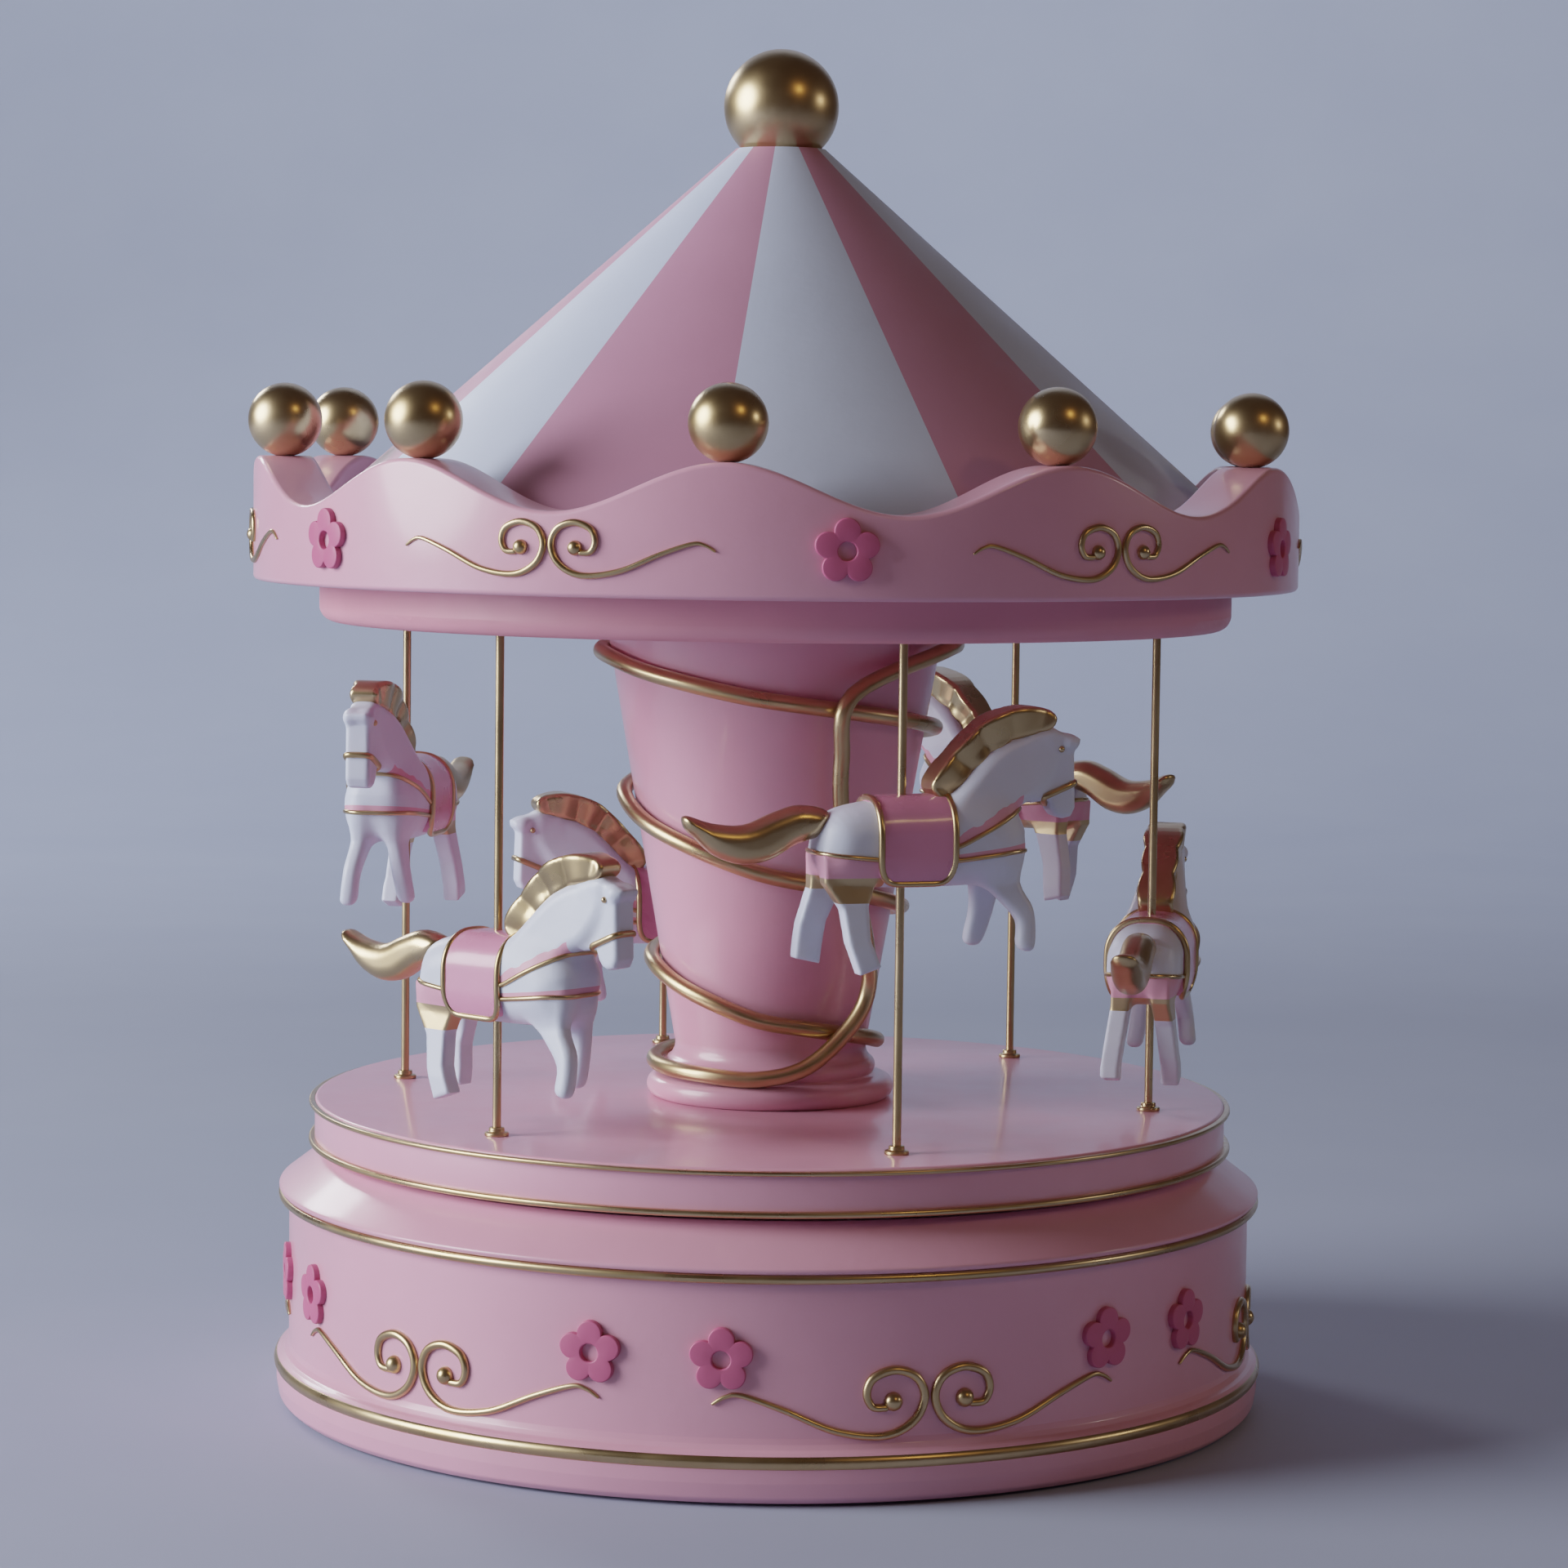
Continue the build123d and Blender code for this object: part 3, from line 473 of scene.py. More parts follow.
def trim_rings():
    gold = MATERIALS["gold_trim"]
    piece("foot_ring", *wire_ring(72.35, 1.15, 6.2), gold, "base", "gold_trim", ["foot_trim_ring"])
    piece("shoulder_ring", *wire_ring(72.2, 0.66, 30.9), gold, "base", "gold_trim",
          ["shoulder_trim_ring"])
    bands = [stage_band(68.45, 44.05, 44.7, 0.28), stage_band(68.5, 38.35, 39.25, 0.4)]
    piece("stage_edge_trims", *combine(bands), gold, "carousel", "gold_trim", ["stage_trim_rings"])


def turning_stage():
    outline = [
        (2.5, 34.0, 0), (9.0, 34.0, 0.3), (9.0, 43.0, 0.5), (65.6, 43.0, 0.5), (65.6, 38.3, 0.2),
        (STAGE_R, 38.3, 0.2), (STAGE_R, STAGE_TOP_Z, 0.5), (ROD_HOLE_R, STAGE_TOP_Z, 0),
        (ROD_HOLE_R, 44.0, 0), (2.5, 44.0, 0),
    ]
    piece("turning_stage", *lathe(rounded(outline), ROUND), MATERIALS["pink_shell"], "carousel",
          "pink_shell", ["stage_platform"])


def column_r(z):
    return COLUMN_LOW_R + COLUMN_SLOPE * (z - COLUMN_LOW_Z)


def column():
    top_r = column_r(CEILING_Z)
    outline = [(12.0, STAGE_TOP_Z)]
    outline += arc((17.3, STAGE_TOP_Z), (18.4, 46.6), (16.6, 48.3), 14)
    outline += arc((16.2, 48.45), (15.55, 48.55), (15.35, 48.75), 4)
    outline += arc((15.35, 48.8), (15.65, 49.9), (14.9, 51.0), 10)
    outline += arc((14.8, 51.1), (14.25, 52.3), (COLUMN_LOW_R, COLUMN_LOW_Z), 8)
    outline += [(top_r, CEILING_Z), (top_r - 2, CEILING_Z), (12.4, COLUMN_LOW_Z)]
    piece("drum_column", *lathe(outline, 192), MATERIALS["pink_shell"], "carousel", "pink_shell",
          ["centre_column"])


def roof():
    def outer_z(r):
        return ROOF_TOP_Z - (r - ROOF_TOP_R) / ROOF_SLOPE

    rim_z, low_in, wall = 128.8, ROOF_LOW_R - 1.5, 1.2
    drop = wall * math.hypot(1, 1 / ROOF_SLOPE)
    outline = [(ROOF_LOW_R, rim_z), (ROOF_LOW_R, outer_z(ROOF_LOW_R))]
    outline += [(r, outer_z(r)) for r in np.linspace(ROOF_LOW_R, ROOF_TOP_R, 14)[1:]]
    outline += [
        (ROD_HOLE_R, ROOF_TOP_Z), (ROD_HOLE_R, ROOF_TOP_Z - drop), (ROOF_TOP_R, ROOF_TOP_Z - drop),
        (low_in, outer_z(low_in) - drop), (low_in, rim_z),
    ]
    piece("striped_roof", *lathe(outline, 360), MATERIALS["striped_roof"], "carousel",
          "striped_roof", ["roof_cone"])


def ball(radius, centre_z, seat_z, segments=72):
    """Ball with a small flat where it sits."""
    low = math.asin((seat_z - centre_z) / radius)
    angles = np.linspace(low, math.pi / 2, segments // 2)
    outline = [(0.0, seat_z)] + [(radius * math.cos(a), centre_z + radius * math.sin(a)) for a in angles]
    outline[-1] = (0.0, centre_z + radius)
    verts, faces = lathe(outline, segments)
    on_axis = len(outline) - 1  # the strip that would run down the axis
    return verts, [face for i, face in enumerate(faces) if i % len(outline) != on_axis]


def balls():
    gold = MATERIALS["gold_trim"]
    piece("finial", *ball(FINIAL_R, FINIAL_Z, ROOF_TOP_Z, 96), gold, "carousel", "gold_trim",
          ["finial_ball"])
    one = moved(ball(BALL_R, BALL_Z, CROWN_MEAN_Z + WAVE), (0, -BALL_RING_R, 0))
    piece("crown_ball_set", *combine([turned(one, phi) for phi in ring_of(WAVES, BALL_PHASE)]), gold,
          "carousel", "gold_trim", ["crown_balls"])


def crown():
    """Ring with a wavy, round-edged top, and the inner flange that sits on the ceiling."""
    steps, flange_r, flange_z = 720, 62.0, CROWN_LOW_Z + 1.5
    rows = []
    for i in range(steps):
        phi = 360.0 * i / steps
        top = CROWN_MEAN_Z + WAVE * math.cos(math.radians(WAVES * (phi - BALL_PHASE)))
        outline = rounded([
            (flange_r, CROWN_LOW_Z, 0), (CROWN_R, CROWN_LOW_Z, 0.7), (CROWN_R, top, 0.75),
            (CROWN_IN_R, top, 0.75), (CROWN_IN_R, flange_z, 0.4), (flange_r, flange_z, 0),
        ], 6)
        a = math.radians(phi)
        rows.append([(r * math.sin(a), -r * math.cos(a), z) for r, z in outline])
    columns = len(rows[0])
    piece("wavy_crown", np.array(rows).reshape(-1, 3), grid_faces(steps, columns),
          MATERIALS["pink_shell"], "carousel", "pink_shell", ["crown_rim"])


# ---- ornaments ----------------------------------------------------------
def flower(wall_r, z, radius=4.4, thick=0.9, steps=120):
    """Five round petals about a hole, with softened edges, bent to the wall."""
    rows = []
    petal_at, petal_r, hole = radius * 0.6, radius * 0.4, radius * 0.28
    for i in range(steps):
        a = TAU * i / steps
        off = (a - math.pi / 2 + TAU / 10) % (TAU / 5) - TAU / 10
        across = petal_at * math.sin(off)
        edge = petal_at * math.cos(off) + math.sqrt(max(petal_r ** 2 - across ** 2, 0.0))
        outline = rounded([
            (hole, -0.1, 0), (edge, -0.1, 0), (edge, thick, 0.22), (hole, thick, 0.22),
        ], 4)
        rows.append([(r * math.cos(a), r * math.sin(a), h) for r, h in outline])
    flat = np.array(rows).reshape(-1, 3)
    a = flat[:, 0] / wall_r
    r = wall_r + flat[:, 2]
    verts = np.stack([r * np.sin(a), -r * np.cos(a), z + flat[:, 1]], 1)
    return verts, grid_faces(steps, len(rows[0]))


def scroll(wall_r, z, size, side):
    """Tapering wire that ends in a beaded spiral, half sunk in the wall."""
    stops = [
        (-29.5, -0.3), (-27.8, 0.7), (-25.6, 0.9), (-20.0, -1.0), (-13.0, -3.9), (-6.4, -4.7),
        (-2.3, -2.9), (-0.75, 0.3), (-1.9, 3.1), (-4.9, 4.2), (-7.9, 3.2), (-8.8, 1.1),
        (-8.0, -0.7), (-6.2, -0.9),
    ]
    path = smooth_path(stops, 8) * size
    length = np.linspace(0, 1, len(path))
    wire = size * (0.2 + 0.42 * np.clip(length / 0.45, 0, 1) ** 0.8)
    wire *= 1 - 0.2 * np.clip((length - 0.75) / 0.25, 0, 1)
    spine = on_wall(side * path[:, 0], path[:, 1], wall_r + 0.2 * size, z)
    bead = lathe(ball_outline(1.3 * size), 28)
    centre = on_wall(side * -5.1 * size, -0.1 * size, wall_r + 0.05, z)
    return combine([tube(spine, wire, 12), moved(bead, centre)])


def ball_outline(radius, steps=18):
    angles = np.linspace(-math.pi / 2, math.pi / 2, steps)
    return [(max(radius * math.cos(a), 0.0), radius * math.sin(a)) for a in angles]


def ornaments():
    gold, rose = MATERIALS["gold_trim"], MATERIALS["rose_plastic"]
    base_flower = flower(DRUM_R, 19.85)
    groups = ring_of(ORNAMENT_GROUPS, POLE_PHASE - 30)
    phases = [p + side for p in groups for side in (-7.25, 7.25)]
    piece("base_flower_set", *combine([turned(base_flower, p) for p in phases]), rose, "base",
          "rose_plastic", ["base_flowers"])
    crown_flower = flower(CROWN_R, 127.9)
    phases = ring_of(ORNAMENT_GROUPS, 7.0)
    piece("crown_flower_set", *combine([turned(crown_flower, p) for p in phases]), rose, "carousel",
          "rose_plastic", ["crown_flowers"])
    for name, node, body, wall_r, z, size, phase in (
        ("base_scroll_set", "base_scrolls", "base", DRUM_R, 14.1, 1.0, POLE_PHASE),
        ("crown_scroll_set", "crown_scrolls", "carousel", CROWN_R, 127.9, 0.78, 37.0),
    ):
        pair = combine([scroll(wall_r, z, size, side) for side in (-1, 1)])
        ring = combine([turned(pair, p) for p in ring_of(ORNAMENT_GROUPS, phase)])
        piece(name, *ring, gold, body, "gold_trim", [node])


def vine():
    """Brass rod bent into one closed loop: a straight run down, then four rising turns."""
    run, turn, wire = 3.0, 0.3, 1.2
    foot_r, foot_z = 15.8, 52.5  # the column's foot, which the rod clears
    stops = [  # angle, height, gap to the column
        (24, 106.2, run), (22, 97, run), (24, 88.3, run), (31, 79, run), (40, 70.0, run),
        (45, 63, run), (38, 57.5, run), (18, 51.6, 1.0), (-6, 49.6, turn), (-87, 50.2, turn),
        (-180, 51.3, turn), (-273, 53.5, turn), (-366, 58.1, turn), (-434, 64.9, turn),
        (-540, 69.5, turn), (-647, 74.3, turn), (-725, 80.0, turn), (-807, 89.7, turn),
        (-900, 96.0, turn), (-1008, 101.0, turn), (-1086, 105.5, turn), (-1149, 110.5, turn),
        (-1240, 113.2, turn), (-1320, 113.2, turn), (-1375, 112.0, 1.5), (-1403, 109.8, run),
    ]
    points = []
    for (phi, z, out), (next_phi, next_z, next_out) in zip(stops, stops[1:]):
        steps = max(1, round(abs(next_phi - phi) / 24))
        for j in range(steps):
            t = j / steps
            a, h = math.radians(phi + (next_phi - phi) * t), z + (next_z - z) * t
            wall = max(column_r(h), foot_r if h < foot_z else 0.0)
            r = wall + wire + out + (next_out - out) * t
            points.append((r * math.sin(a), -r * math.cos(a), h))
    path = smooth_path(points, 6, closed=True)
    piece("vine_rod", *tube(path, wire, 18, closed=True), MATERIALS["gold_trim"], "carousel",
          "gold_trim", ["column_vine"])


def pole_collars():
    hole, top, low_z, high_z = 0.65, 46.2, 115.1, 117.5
    low = rounded([
        (hole, STAGE_TOP_Z, 0), (1.7, STAGE_TOP_Z, 0.1), (1.7, 45.5, 0.2), (1.1, 45.6, 0.2),
        (1.1, top, 0.2), (hole, top, 0),
    ], 4)
    high = rounded([(hole, low_z, 0), (1.6, low_z, 0.15), (1.6, high_z, 0), (hole, high_z, 0)], 4)
    pair = moved(combine([lathe(low, 40), lathe(high, 40)]), (0, -POLE_RING_R, 0))
    phases = ring_of(HORSES, POLE_PHASE)
    piece("pole_collars", *combine([turned(pair, p) for p in phases]), MATERIALS["gold_trim"],
          "carousel", "gold_trim", ["pole_bushes"])


# ---- horses -------------------------------------------------------------
# Drawn about the pole: x forwards, y to the horse's left, z up from the middle of the body.
# Each form is a signed distance in millimetres, negative inside.
def polygon(x, z, corners):
    """Signed distance to a closed outline in the x-z plane."""
    best, inside = None, None
    count = len(corners)
    for i in range(count):
        (ax, az), (bx, bz) = corners[i], corners[(i + 1) % count]
        ex, ez = bx - ax, bz - az
        px, pz = x - ax, z - az
        t = np.clip((px * ex + pz * ez) / (ex * ex + ez * ez), 0, 1)
        d = (px - ex * t) ** 2 + (pz - ez * t) ** 2
        best = d if best is None else np.minimum(best, d)
        crosses = ((az > z) != (bz > z)) & (x < ex * (z - az) / (ez if ez else 1e-9) + ax)
        inside = crosses if inside is None else inside ^ crosses
    return np.where(inside, -1.0, 1.0) * np.sqrt(best)


def slab(x, y, z, corners, half, edge, middle=0.0):
    """Outline given thickness across y, with its edges rounded."""
    flat = polygon(x, z, corners) + edge
    across = np.abs(y - middle) - half + edge
    outer = np.sqrt(np.maximum(flat, 0) ** 2 + np.maximum(across, 0) ** 2)
    return outer + np.minimum(np.maximum(flat, across), 0) - edge


def blend(a, b, soft):
    """Smooth union."""
    h = np.maximum(soft - np.abs(a - b), 0) / soft
    return np.minimum(a, b) - h * h * soft / 4


def curve(corners, per=4):
    return [tuple(p) for p in smooth_path(corners, per, closed=True)]


TRUNK = curve([
    (-12.4, -3.4), (-12.5, 0.6), (-10.4, 4.1), (-4.5, 5.6), (2.0, 5.8), (7.5, 5.9), (13.0, 5.0),
    (16.3, 1.8), (16.6, -2.2), (14.2, -5.4), (6.0, -6.1), (-3.0, -6.1), (-9.5, -5.6),
])
NECK = curve([
    (4.0, 1.0), (5.8, 5.2), (9.3, 9.4), (13.0, 12.9), (17.4, 14.8), (21.6, 15.3), (22.2, 11.0),
    (19.4, 6.4), (16.0, 4.2), (16.4, 0.5), (10.0, -3.0),
])
HEAD = [
    (17.6, 14.6), (21.4, 15.2), (23.6, 14.6), (25.5, 13.9), (25.35, 13.1), (24.6, 12.3), (24.7, 8.0),
    (24.8, 4.4), (24.2, 3.2), (23.0, 2.9), (21.9, 3.3), (21.2, 4.2), (20.8, 5.4), (18.4, 5.2),
    (16.6, 8.0),
]
NEAR_HIND = [
    (-12.3, -1.5), (-4.2, -3.0), (-6.0, -8.4), (-5.8, -12.9), (-4.3, -16.6), (-7.4, -17.7),
    (-9.0, -13.4), (-9.7, -8.8), (-12.2, -5.2),
]
FAR_HIND = [
    (-12.3, -1.5), (-5.6, -3.0), (-8.1, -7.0), (-9.8, -11.0), (-10.5, -16.8), (-14.1, -16.0),
    (-13.7, -11.4), (-12.3, -6.2),
]
NEAR_FORE = curve([
    (10.2, -2.0), (16.4, -0.5), (16.3, -5.6), (18.2, -9.4), (18.2, -14.2), (16.9, -15.0),
    (15.6, -14.0), (15.6, -10.8), (12.8, -7.6), (10.6, -5.4),
])
FAR_FORE = curve([
    (9.8, -2.0), (15.4, -2.0), (15.2, -7.0), (13.6, -13.4), (12.2, -14.9), (10.6, -14.0),
    (11.2, -9.8), (10.8, -5.6),
])
MANE = curve([
    (6.1, 5.2), (3.6, 7.2), (4.6, 9.8), (8.8, 14.4), (12.1, 17.0), (16.8, 18.4), (20.6, 18.0),
    (21.9, 16.6), (20.6, 15.0), (16.3, 13.9), (12.6, 11.8), (9.3, 8.7),
])
TAIL = curve([
    (-10.6, 4.2), (-14.6, 5.2), (-18.4, 4.2), (-22.6, 2.6), (-27.0, 2.9), (-30.8, 4.0), (-30.9, 2.4),
    (-29.4, 0.9), (-26.8, -1.4), (-23.0, -2.7), (-19.0, -2.2), (-15.1, -0.1), (-11.6, 1.2),
])


def trunk_form(x, y, z):
    return slab(x, y, z, TRUNK, 5.35, 4.4)


def body_form(x, y, z):
    """Trunk and neck."""
    along = np.clip(((x - 9.0) * 12 + (z - 2.0) * 10) / 244.0, 0, 1)
    return blend(trunk_form(x, y, z), slab(x, y, z, NECK, 4.7 - 2.6 * along, 1.7), 2.4)


def head_form(x, y, z):
    brow = np.sqrt((x - 23.9) ** 2 + (np.abs(y) - 1.35) ** 2 + (z - 13.3) ** 2) - 1.0
    return blend(slab(x, y, z, HEAD, 1.9, 0.7), brow, 0.8)


def horse_form(x, y, z):
    """Body, neck, head and legs."""
    form = blend(body_form(x, y, z), head_form(x, y, z), 1.0)
    splay = 1.1 * np.clip((-5.5 - z) / 9.0, 0, 1)
    hind = blend(slab(x, y, z, NEAR_HIND, 1.35, 0.45, -2.9 - splay),
                 slab(x, y, z, FAR_HIND, 1.35, 0.45, 2.9 + splay), 0.5)
    fore = blend(slab(x, y, z, NEAR_FORE, 1.25, 1.05, -2.6 - splay),
                 slab(x, y, z, FAR_FORE, 1.25, 1.05, 2.6 + splay), 0.6)
    return blend(blend(form, hind, 1.0), fore, 1.6)


def mane_form(x, y, z):
    """Thick crest with scalloped locks."""
    angle = np.arctan2(z - 4.0, x - 17.0)
    locks = np.abs(np.cos(angle * 8.2))
    rim = np.hypot(x - 15.5, z - 5.0)
    flare = np.clip((rim - 9.0) / 4.0, 0, 1) * np.clip((20.5 - x) / 6.0, 0, 1)
    half = 1.95 + 0.4 * locks + 0.95 * flare
    return slab(x, y, z, MANE, half, 0.7)


def tail_form(x, y, z):
    return slab(x, y, z, TAIL, 2.35, 2.2)


def hang_form(x, y, z):
    """Trunk whose sides fall more steeply below its middle, as the saddle cloth does."""
    return trunk_form(x, y, np.where(z > -2.0, z, -2.0 + 0.75 * (z + 2.0)))


def saddle_form(x, y, z):
    middle, half = (SADDLE_FRONT + SADDLE_REAR) / 2, (SADDLE_FRONT - SADDLE_REAR) / 2
    corner = 1.6
    dx = np.abs(x - middle) - half + corner
    dz = SADDLE_LOW - z + corner
    mask = np.hypot(np.maximum(dx, 0), np.maximum(dz, 0)) + np.minimum(np.maximum(dx, dz), 0) - corner
    shell = np.maximum(hang_form(x, y, z) - 0.6, -(trunk_form(x, y, z) + 0.3))
    return np.maximum(shell, mask)


def surface_net(form, low, high, step):
    """Mesh of a form's zero surface: one point per grid cell that the surface crosses."""
    axes = [np.arange(a, b + step, step) for a, b in zip(low, high)]
    grid = np.meshgrid(*axes, indexing="ij", sparse=True)
    field = np.broadcast_to(form(*grid), [len(a) for a in axes])
    size = np.array(field.shape) - 1
    total, count = np.zeros((*size, 3)), np.zeros(size)
    edges = []
    for axis in range(3):
        first = np.take(field, range(field.shape[axis] - 1), axis)
        second = np.take(field, range(1, field.shape[axis]), axis)
        cross = (first < 0) != (second < 0)
        share = np.where(cross, first / np.where(cross, first - second, 1.0), 0.0)
        edges.append((cross, first < 0))
        others = [k for k in range(3) if k != axis]
        for da in (0, 1):
            for db in (0, 1):
                part = [slice(0, size[0]), slice(0, size[1]), slice(0, size[2])]
                part[others[0]] = slice(da, da + size[others[0]])
                part[others[1]] = slice(db, db + size[others[1]])
                hit = cross[tuple(part)]
                offset = np.zeros((*size, 3))
                offset[..., axis] = share[tuple(part)]
                offset[..., others[0]] = da
                offset[..., others[1]] = db
                total += offset * hit[..., None]
                count += hit
    cells = np.argwhere(count > 0)
    index = np.full(size, -1)
    index[tuple(cells.T)] = np.arange(len(cells))
    verts = cells + total[tuple(cells.T)] / count[tuple(cells.T)][:, None]
    verts = np.array(low) + verts * step
    faces = []
    for axis, (cross, inside) in enumerate(edges):
        b, c = (axis + 1) % 3, (axis + 2) % 3
        hits = np.argwhere(cross)
        hits = hits[(hits[:, b] > 0) & (hits[:, c] > 0) & (hits[:, b] < size[b]) & (hits[:, c] < size[c])]
        corners = []
        for db, dc in ((-1, -1), (0, -1), (0, 0), (-1, 0)):
            cell = hits.copy()
            cell[:, b] += db
            cell[:, c] += dc
            corners.append(index[tuple(cell.T)])
        quads = np.stack(corners, 1)
        flip = ~inside[tuple(hits.T)]
        quads[flip] = quads[flip][:, ::-1]
        faces += [tuple(q) for q in quads.tolist()]
    return settle(form, verts), faces


def settle(form, verts, rounds=2, probe=0.02):
    """Pull points onto the surface along its gradient."""
    for _ in range(rounds):
        value = form(*verts.T)
        slope = np.stack([
            form(*(verts + probe * axis).T) - form(*(verts - probe * axis).T) for axis in np.eye(3)
        ], 1) / (2 * probe)
        length = np.maximum((slope ** 2).sum(1), 0.2)
        shift = -(value / length)[:, None] * slope
        verts = verts + np.clip(shift, -0.15, 0.15)
    return verts


def reach(form, starts, directions, far=14.0, steps=420):
    """How far each ray runs before it last leaves the form."""
    starts, directions = np.asarray(starts, float), np.asarray(directions, float)
    lengths = np.linspace(far, 0, steps)
    points = starts[:, None] + directions[:, None] * lengths[None, :, None]
    inside = form(*np.moveaxis(points, 2, 0)) < 0
    return lengths[np.argmax(inside, 1)]


def strap(form, centre_x, line, start, end, steps=60, lift=0.1):
    """Path round the body where it meets a slanting height line; angles count from straight ahead."""
    (x0, z0), (x1, z1) = line
    a = np.radians(np.linspace(start, end, steps))
    directions = np.stack([np.cos(a), np.sin(a), 0 * a], 1)
    x = np.where(np.abs(a) > math.pi / 2, x0, x1)
    for _ in range(5):
        share = (np.clip(x, min(x0, x1), max(x0, x1)) - x0) / (x1 - x0)
        starts = np.stack([0 * a + centre_x, 0 * a, z0 + (z1 - z0) * share], 1)
        path = starts + (reach(form, starts, directions) + lift)[:, None] * directions
        x = path[:, 0]
    return soften(path)


def soften(path, rounds=3, closed=False):
    for _ in range(rounds):
        middle = (np.roll(path, 1, 0) + path + np.roll(path, -1, 0)) / 3
        if not closed:
            middle[[0, -1]] = path[[0, -1]]
        path = middle
    return path


def saddle_piping():
    """Closed cord round the saddle's edge, over the back and along both hems."""
    front, rear, corner = SADDLE_FRONT - 0.15, SADDLE_REAR + 0.15, 1.5
    hem, bend = 137.0, 22.0  # degrees down from the back to the hem, and of those, round the corner
    stations = []
    for side in (1, -1):
        drop = [(hem - bend) * t for t in np.linspace(0, 1, 26)]
        x_from, x_to = (front, rear) if side > 0 else (rear, front)
        down = [(x_from, a) for a in drop]
        sign = 1 if x_to > x_from else -1
        turn = []
        for t in (0.25, 0.5, 0.75):
            q = t * math.pi / 2
            turn.append((1 - math.cos(q), math.sin(q)))
        down += [(x_from + sign * corner * u, hem - bend + bend * v) for u, v in turn]
        along = [(x, hem) for x in np.linspace(x_from + sign * corner, x_to - sign * corner, 14)]
        up = [(x_to - sign * corner * u, hem - bend + bend * v) for u, v in turn[::-1]]
        up += [(x_to, a) for a in drop[::-1]]
        stations += [(x, side * a) for x, a in down + along + up[:-1]]
    x, a = np.array(stations).T
    a = np.radians(a)
    starts = np.stack([x, 0 * x, 0 * x], 1)
    directions = np.stack([0 * a, np.sin(a), np.cos(a)], 1)
    path = starts + (reach(hang_form, starts, directions) + 0.55)[:, None] * directions
    return soften(path, 3, closed=True)


def harness():
    """Gold cords: saddle piping, two chest straps, rump strap and noseband."""
    cord, thick_cord = 0.34, 0.46
    parts = [tube(saddle_piping(), thick_cord, 12, closed=True)]
    upper = strap(body_form, 10.0, UPPER_STRAP, -140, 140)
    lower = strap(horse_form, 10.0, LOWER_STRAP, -140, 140)
    rump = strap(trunk_form, -8.0, RUMP_STRAP, 60, 300)
    nose = strap(head_form, 22.4, NOSE_STRAP, -180, 180)[:-1]
    parts += [tube(path, cord, 10) for path in (upper, lower, rump)]
    parts.append(tube(nose, thick_cord, 12, closed=True))
    return combine(parts)


def eyes():
    bead = lathe(ball_outline(0.45), 24)
    return combine([moved(bead, (22.5, side * 1.95, 12.5)) for side in (-1, 1)])


def horse_set():
    step = 0.32
    body = surface_net(horse_form, (-16, -6.5, -19), (27, 6.5, 17), step)
    saddle = surface_net(saddle_form, (-6, -7, -7), (7, 7, 7.5), step * 0.8)
    mane = surface_net(mane_form, (2, -4.5, 4), (23.5, 4.5, 20), step)
    tail = surface_net(tail_form, (-33, -3.5, -4), (-9, 3.5, 7), step)
    forms = [  # name, mesh, material slot, CAD node it stands for
        ("body", body, "white_plastic", "horse"),
        ("saddle", saddle, "saddle_pink", "saddle"),
        ("mane", mane, "gold_trim", "mane_tail"),
        ("tail", tail, "gold_trim", "mane_tail"),
        ("harness", harness(), "gold_trim", None),
        ("eyes", eyes(), "gold_trim", None),
    ]
    meshes = {}
    for i, phi in enumerate(ring_of(HORSES, POLE_PHASE), 1):
        a = math.radians(phi)
        z = HORSE_HIGH_Z - (TRAVEL if i % 2 == 0 else 0.0)
        spot = Vector((POLE_RING_R * math.sin(a), -POLE_RING_R * math.cos(a), z)) * MM
        place = Matrix.Translation(spot) @ Matrix.Rotation(a, 4, "Z")
        for name, (verts, faces), slot, node in forms:
            nodes = [f"{node}_{i}"] if node else ()
            full = f"horse_{name}_{i}"
            if name in meshes:
                show(full, meshes[name], f"horse_{i}", nodes, place)
            else:
                made = piece(full, verts, faces, MATERIALS[slot], f"horse_{i}", slot, nodes, place,
                             SOFT_SHARP)
                meshes[name] = made.data


# ---- carried-over CAD nodes --------------------------------------------
def finish_cad_nodes():
    slots = {s["node"]: s["material_slot"] for s in frame["record"]["subparts"]}
    for node, obj in frame["nodes"].items():
        obj.data.materials.clear()
        # The ceiling takes the redder pink, which holds a painted reflection of the stage; every other
        # node takes its slot's material.
        obj.data.materials.append(CEILING_PINK_WITH_PAINTED_BOUNCE if node == "canopy_ceiling" else MATERIALS[slots[node]])


# ---- studio -------------------------------------------------------------
def floor_material():
    n = Nodes("pale_floor")
    cloud = n.span(n.noise(14.0, 5.0), 0, 1)
    n.put(n.shader, "Base Color", n.mix(cloud, rgb(165, 173, 198), rgb(168, 176, 200)))
    n.put(n.shader, "Roughness", 0.75)
    n.put(n.shader, "Specular IOR Level", 0.2)
    return n.material


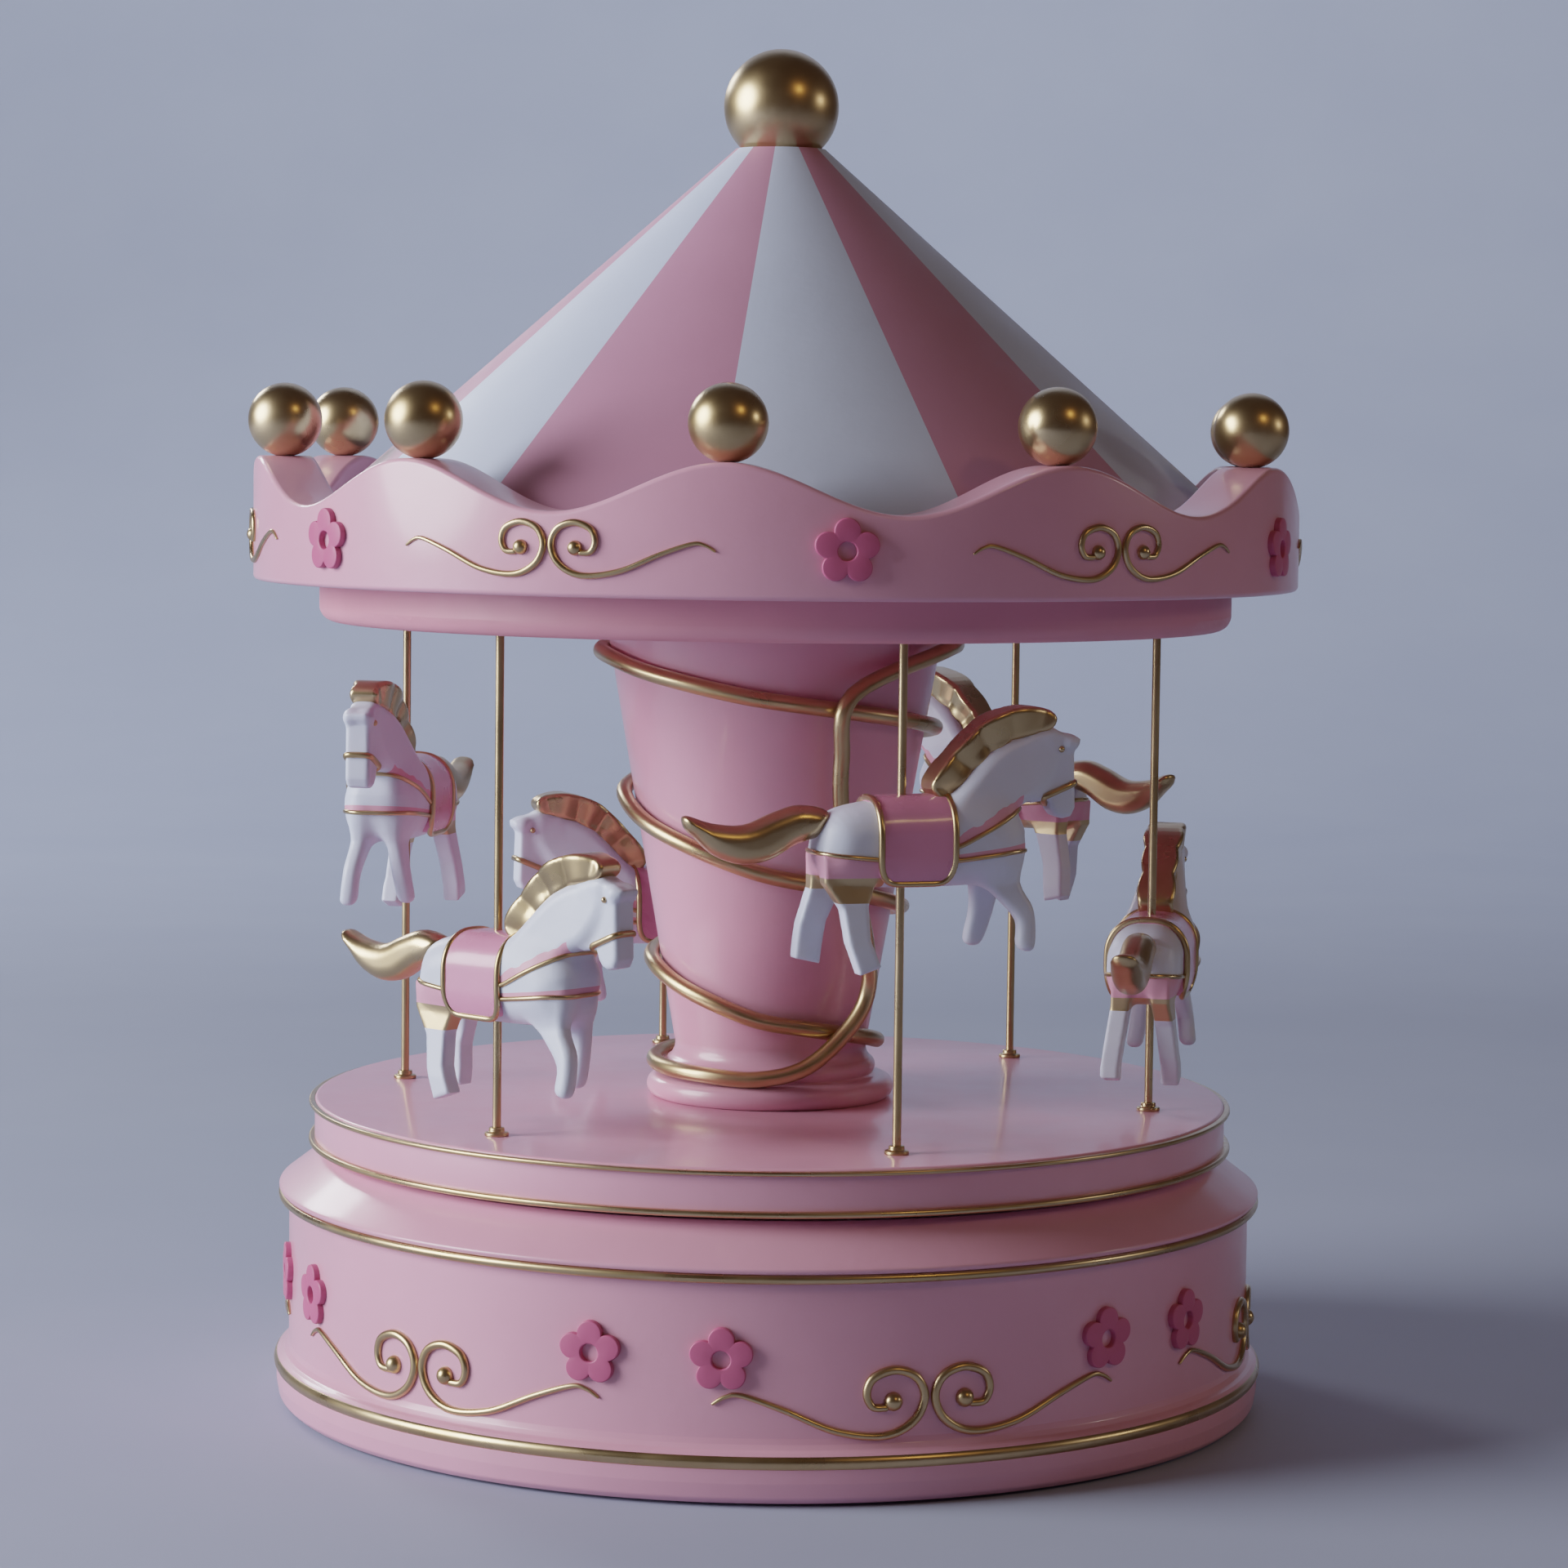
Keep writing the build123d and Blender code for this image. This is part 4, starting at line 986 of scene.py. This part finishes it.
def studio():
    """Pale sweep that curves up behind the object, a large soft key from the left, a faint warm sky."""
    front, back, height, bend = -1500.0, 1600.0, 2600.0, 700.0
    left, right = -2600.0, 950.0
    short = bend * (1 - math.sin(math.pi / 4))  # from the bend's middle to the sweep's flats
    outline = [(front, 0.0)] + arc((back - bend, 0.0), (back - short, short), (back, bend), 24)
    outline.append((back, height))
    verts = [(x, y, z) for y, z in outline for x in (left, right)]
    faces = [(2 * i, 2 * i + 1, 2 * i + 3, 2 * i + 2) for i in range(len(outline) - 1)]
    mesh = bpy.data.meshes.new("sweep")
    mesh.from_pydata((np.array(verts) * MM).tolist(), [], faces)
    mesh.shade_smooth()
    mesh.materials.append(floor_material())
    sweep = bpy.data.objects.new("sweep", mesh)
    bpy.context.scene.collection.objects.link(sweep)

    def area(name, spot, target, size, power, colour):
        light = bpy.data.lights.new(name, "AREA")
        light.shape, light.size, light.energy, light.color = "DISK", size, power, colour
        lamp = bpy.data.objects.new(name, light)
        lamp.location = spot
        lamp.rotation_euler = (Vector(target) - Vector(spot)).to_track_quat("-Z", "Y").to_euler()
        lamp.visible_camera = False
        bpy.context.scene.collection.objects.link(lamp)

    area("key", (-1.05, -0.25, 0.42), (0, 0, 0.10), 0.75, 19.4, (0.935, 0.965, 1.0))
    area("left_rim", (-0.65, 0.98, 0.6), (0, 0, 0.12), 0.3, 3.2, (0.92, 0.96, 1.0))
    area("right_spark", (0.95, -0.08, 0.36), (0, 0, 0.15), 0.14, 0.5, (1.0, 0.88, 0.74))
    area("amber_spark", (0.55, -0.68, 0.72), (0, 0, 0.15), 0.12, 0.5, (1.0, 0.62, 0.25))
    area("backdrop_wash", (0.0, 0.5, 1.3), (0, 1.6, 1.25), 1.2, 15.5, (0.90, 0.95, 1.0))
    world = bpy.data.worlds.new("sky")
    world.use_nodes = True
    sky = world.node_tree.nodes["Background"].inputs
    sky["Color"].default_value = (0.62, 0.44, 0.40, 1.0)
    sky["Strength"].default_value = 0.075
    bpy.context.scene.world = world
    bpy.context.scene.view_settings.view_transform = "Filmic"
    bpy.context.scene.view_settings.look = "None"


def camera():
    """Eye a little above the crown's lower edge, looking slightly down, tipped by a hair."""
    data = bpy.data.cameras.new("camera")
    data.lens, data.sensor_width = 98.995, 36.0
    data.clip_start, data.clip_end = 0.05, 20.0
    yaw, pitch, roll = (math.radians(a) for a in (0.037, 4.462, 0.690))
    forward = Vector((math.sin(yaw) * math.cos(pitch), math.cos(yaw) * math.cos(pitch), -math.sin(pitch)))
    level = Vector((math.cos(yaw), -math.sin(yaw), 0))
    above = level.cross(forward)
    right = level * math.cos(roll) + above * math.sin(roll)
    up = above * math.cos(roll) - level * math.sin(roll)
    obj = bpy.data.objects.new("camera", data)
    turn = Matrix((right, up, -forward)).transposed().to_4x4()
    obj.matrix_world = Matrix.Translation(Vector((1.15, -638.95, 141.3)) * MM) @ turn
    bpy.context.scene.collection.objects.link(obj)
    bpy.context.scene.camera = obj


base_case()
trim_rings()
turning_stage()
column()
roof()
balls()
crown()
ornaments()
vine()
pole_collars()
horse_set()
finish_cad_nodes()
studio()
camera()
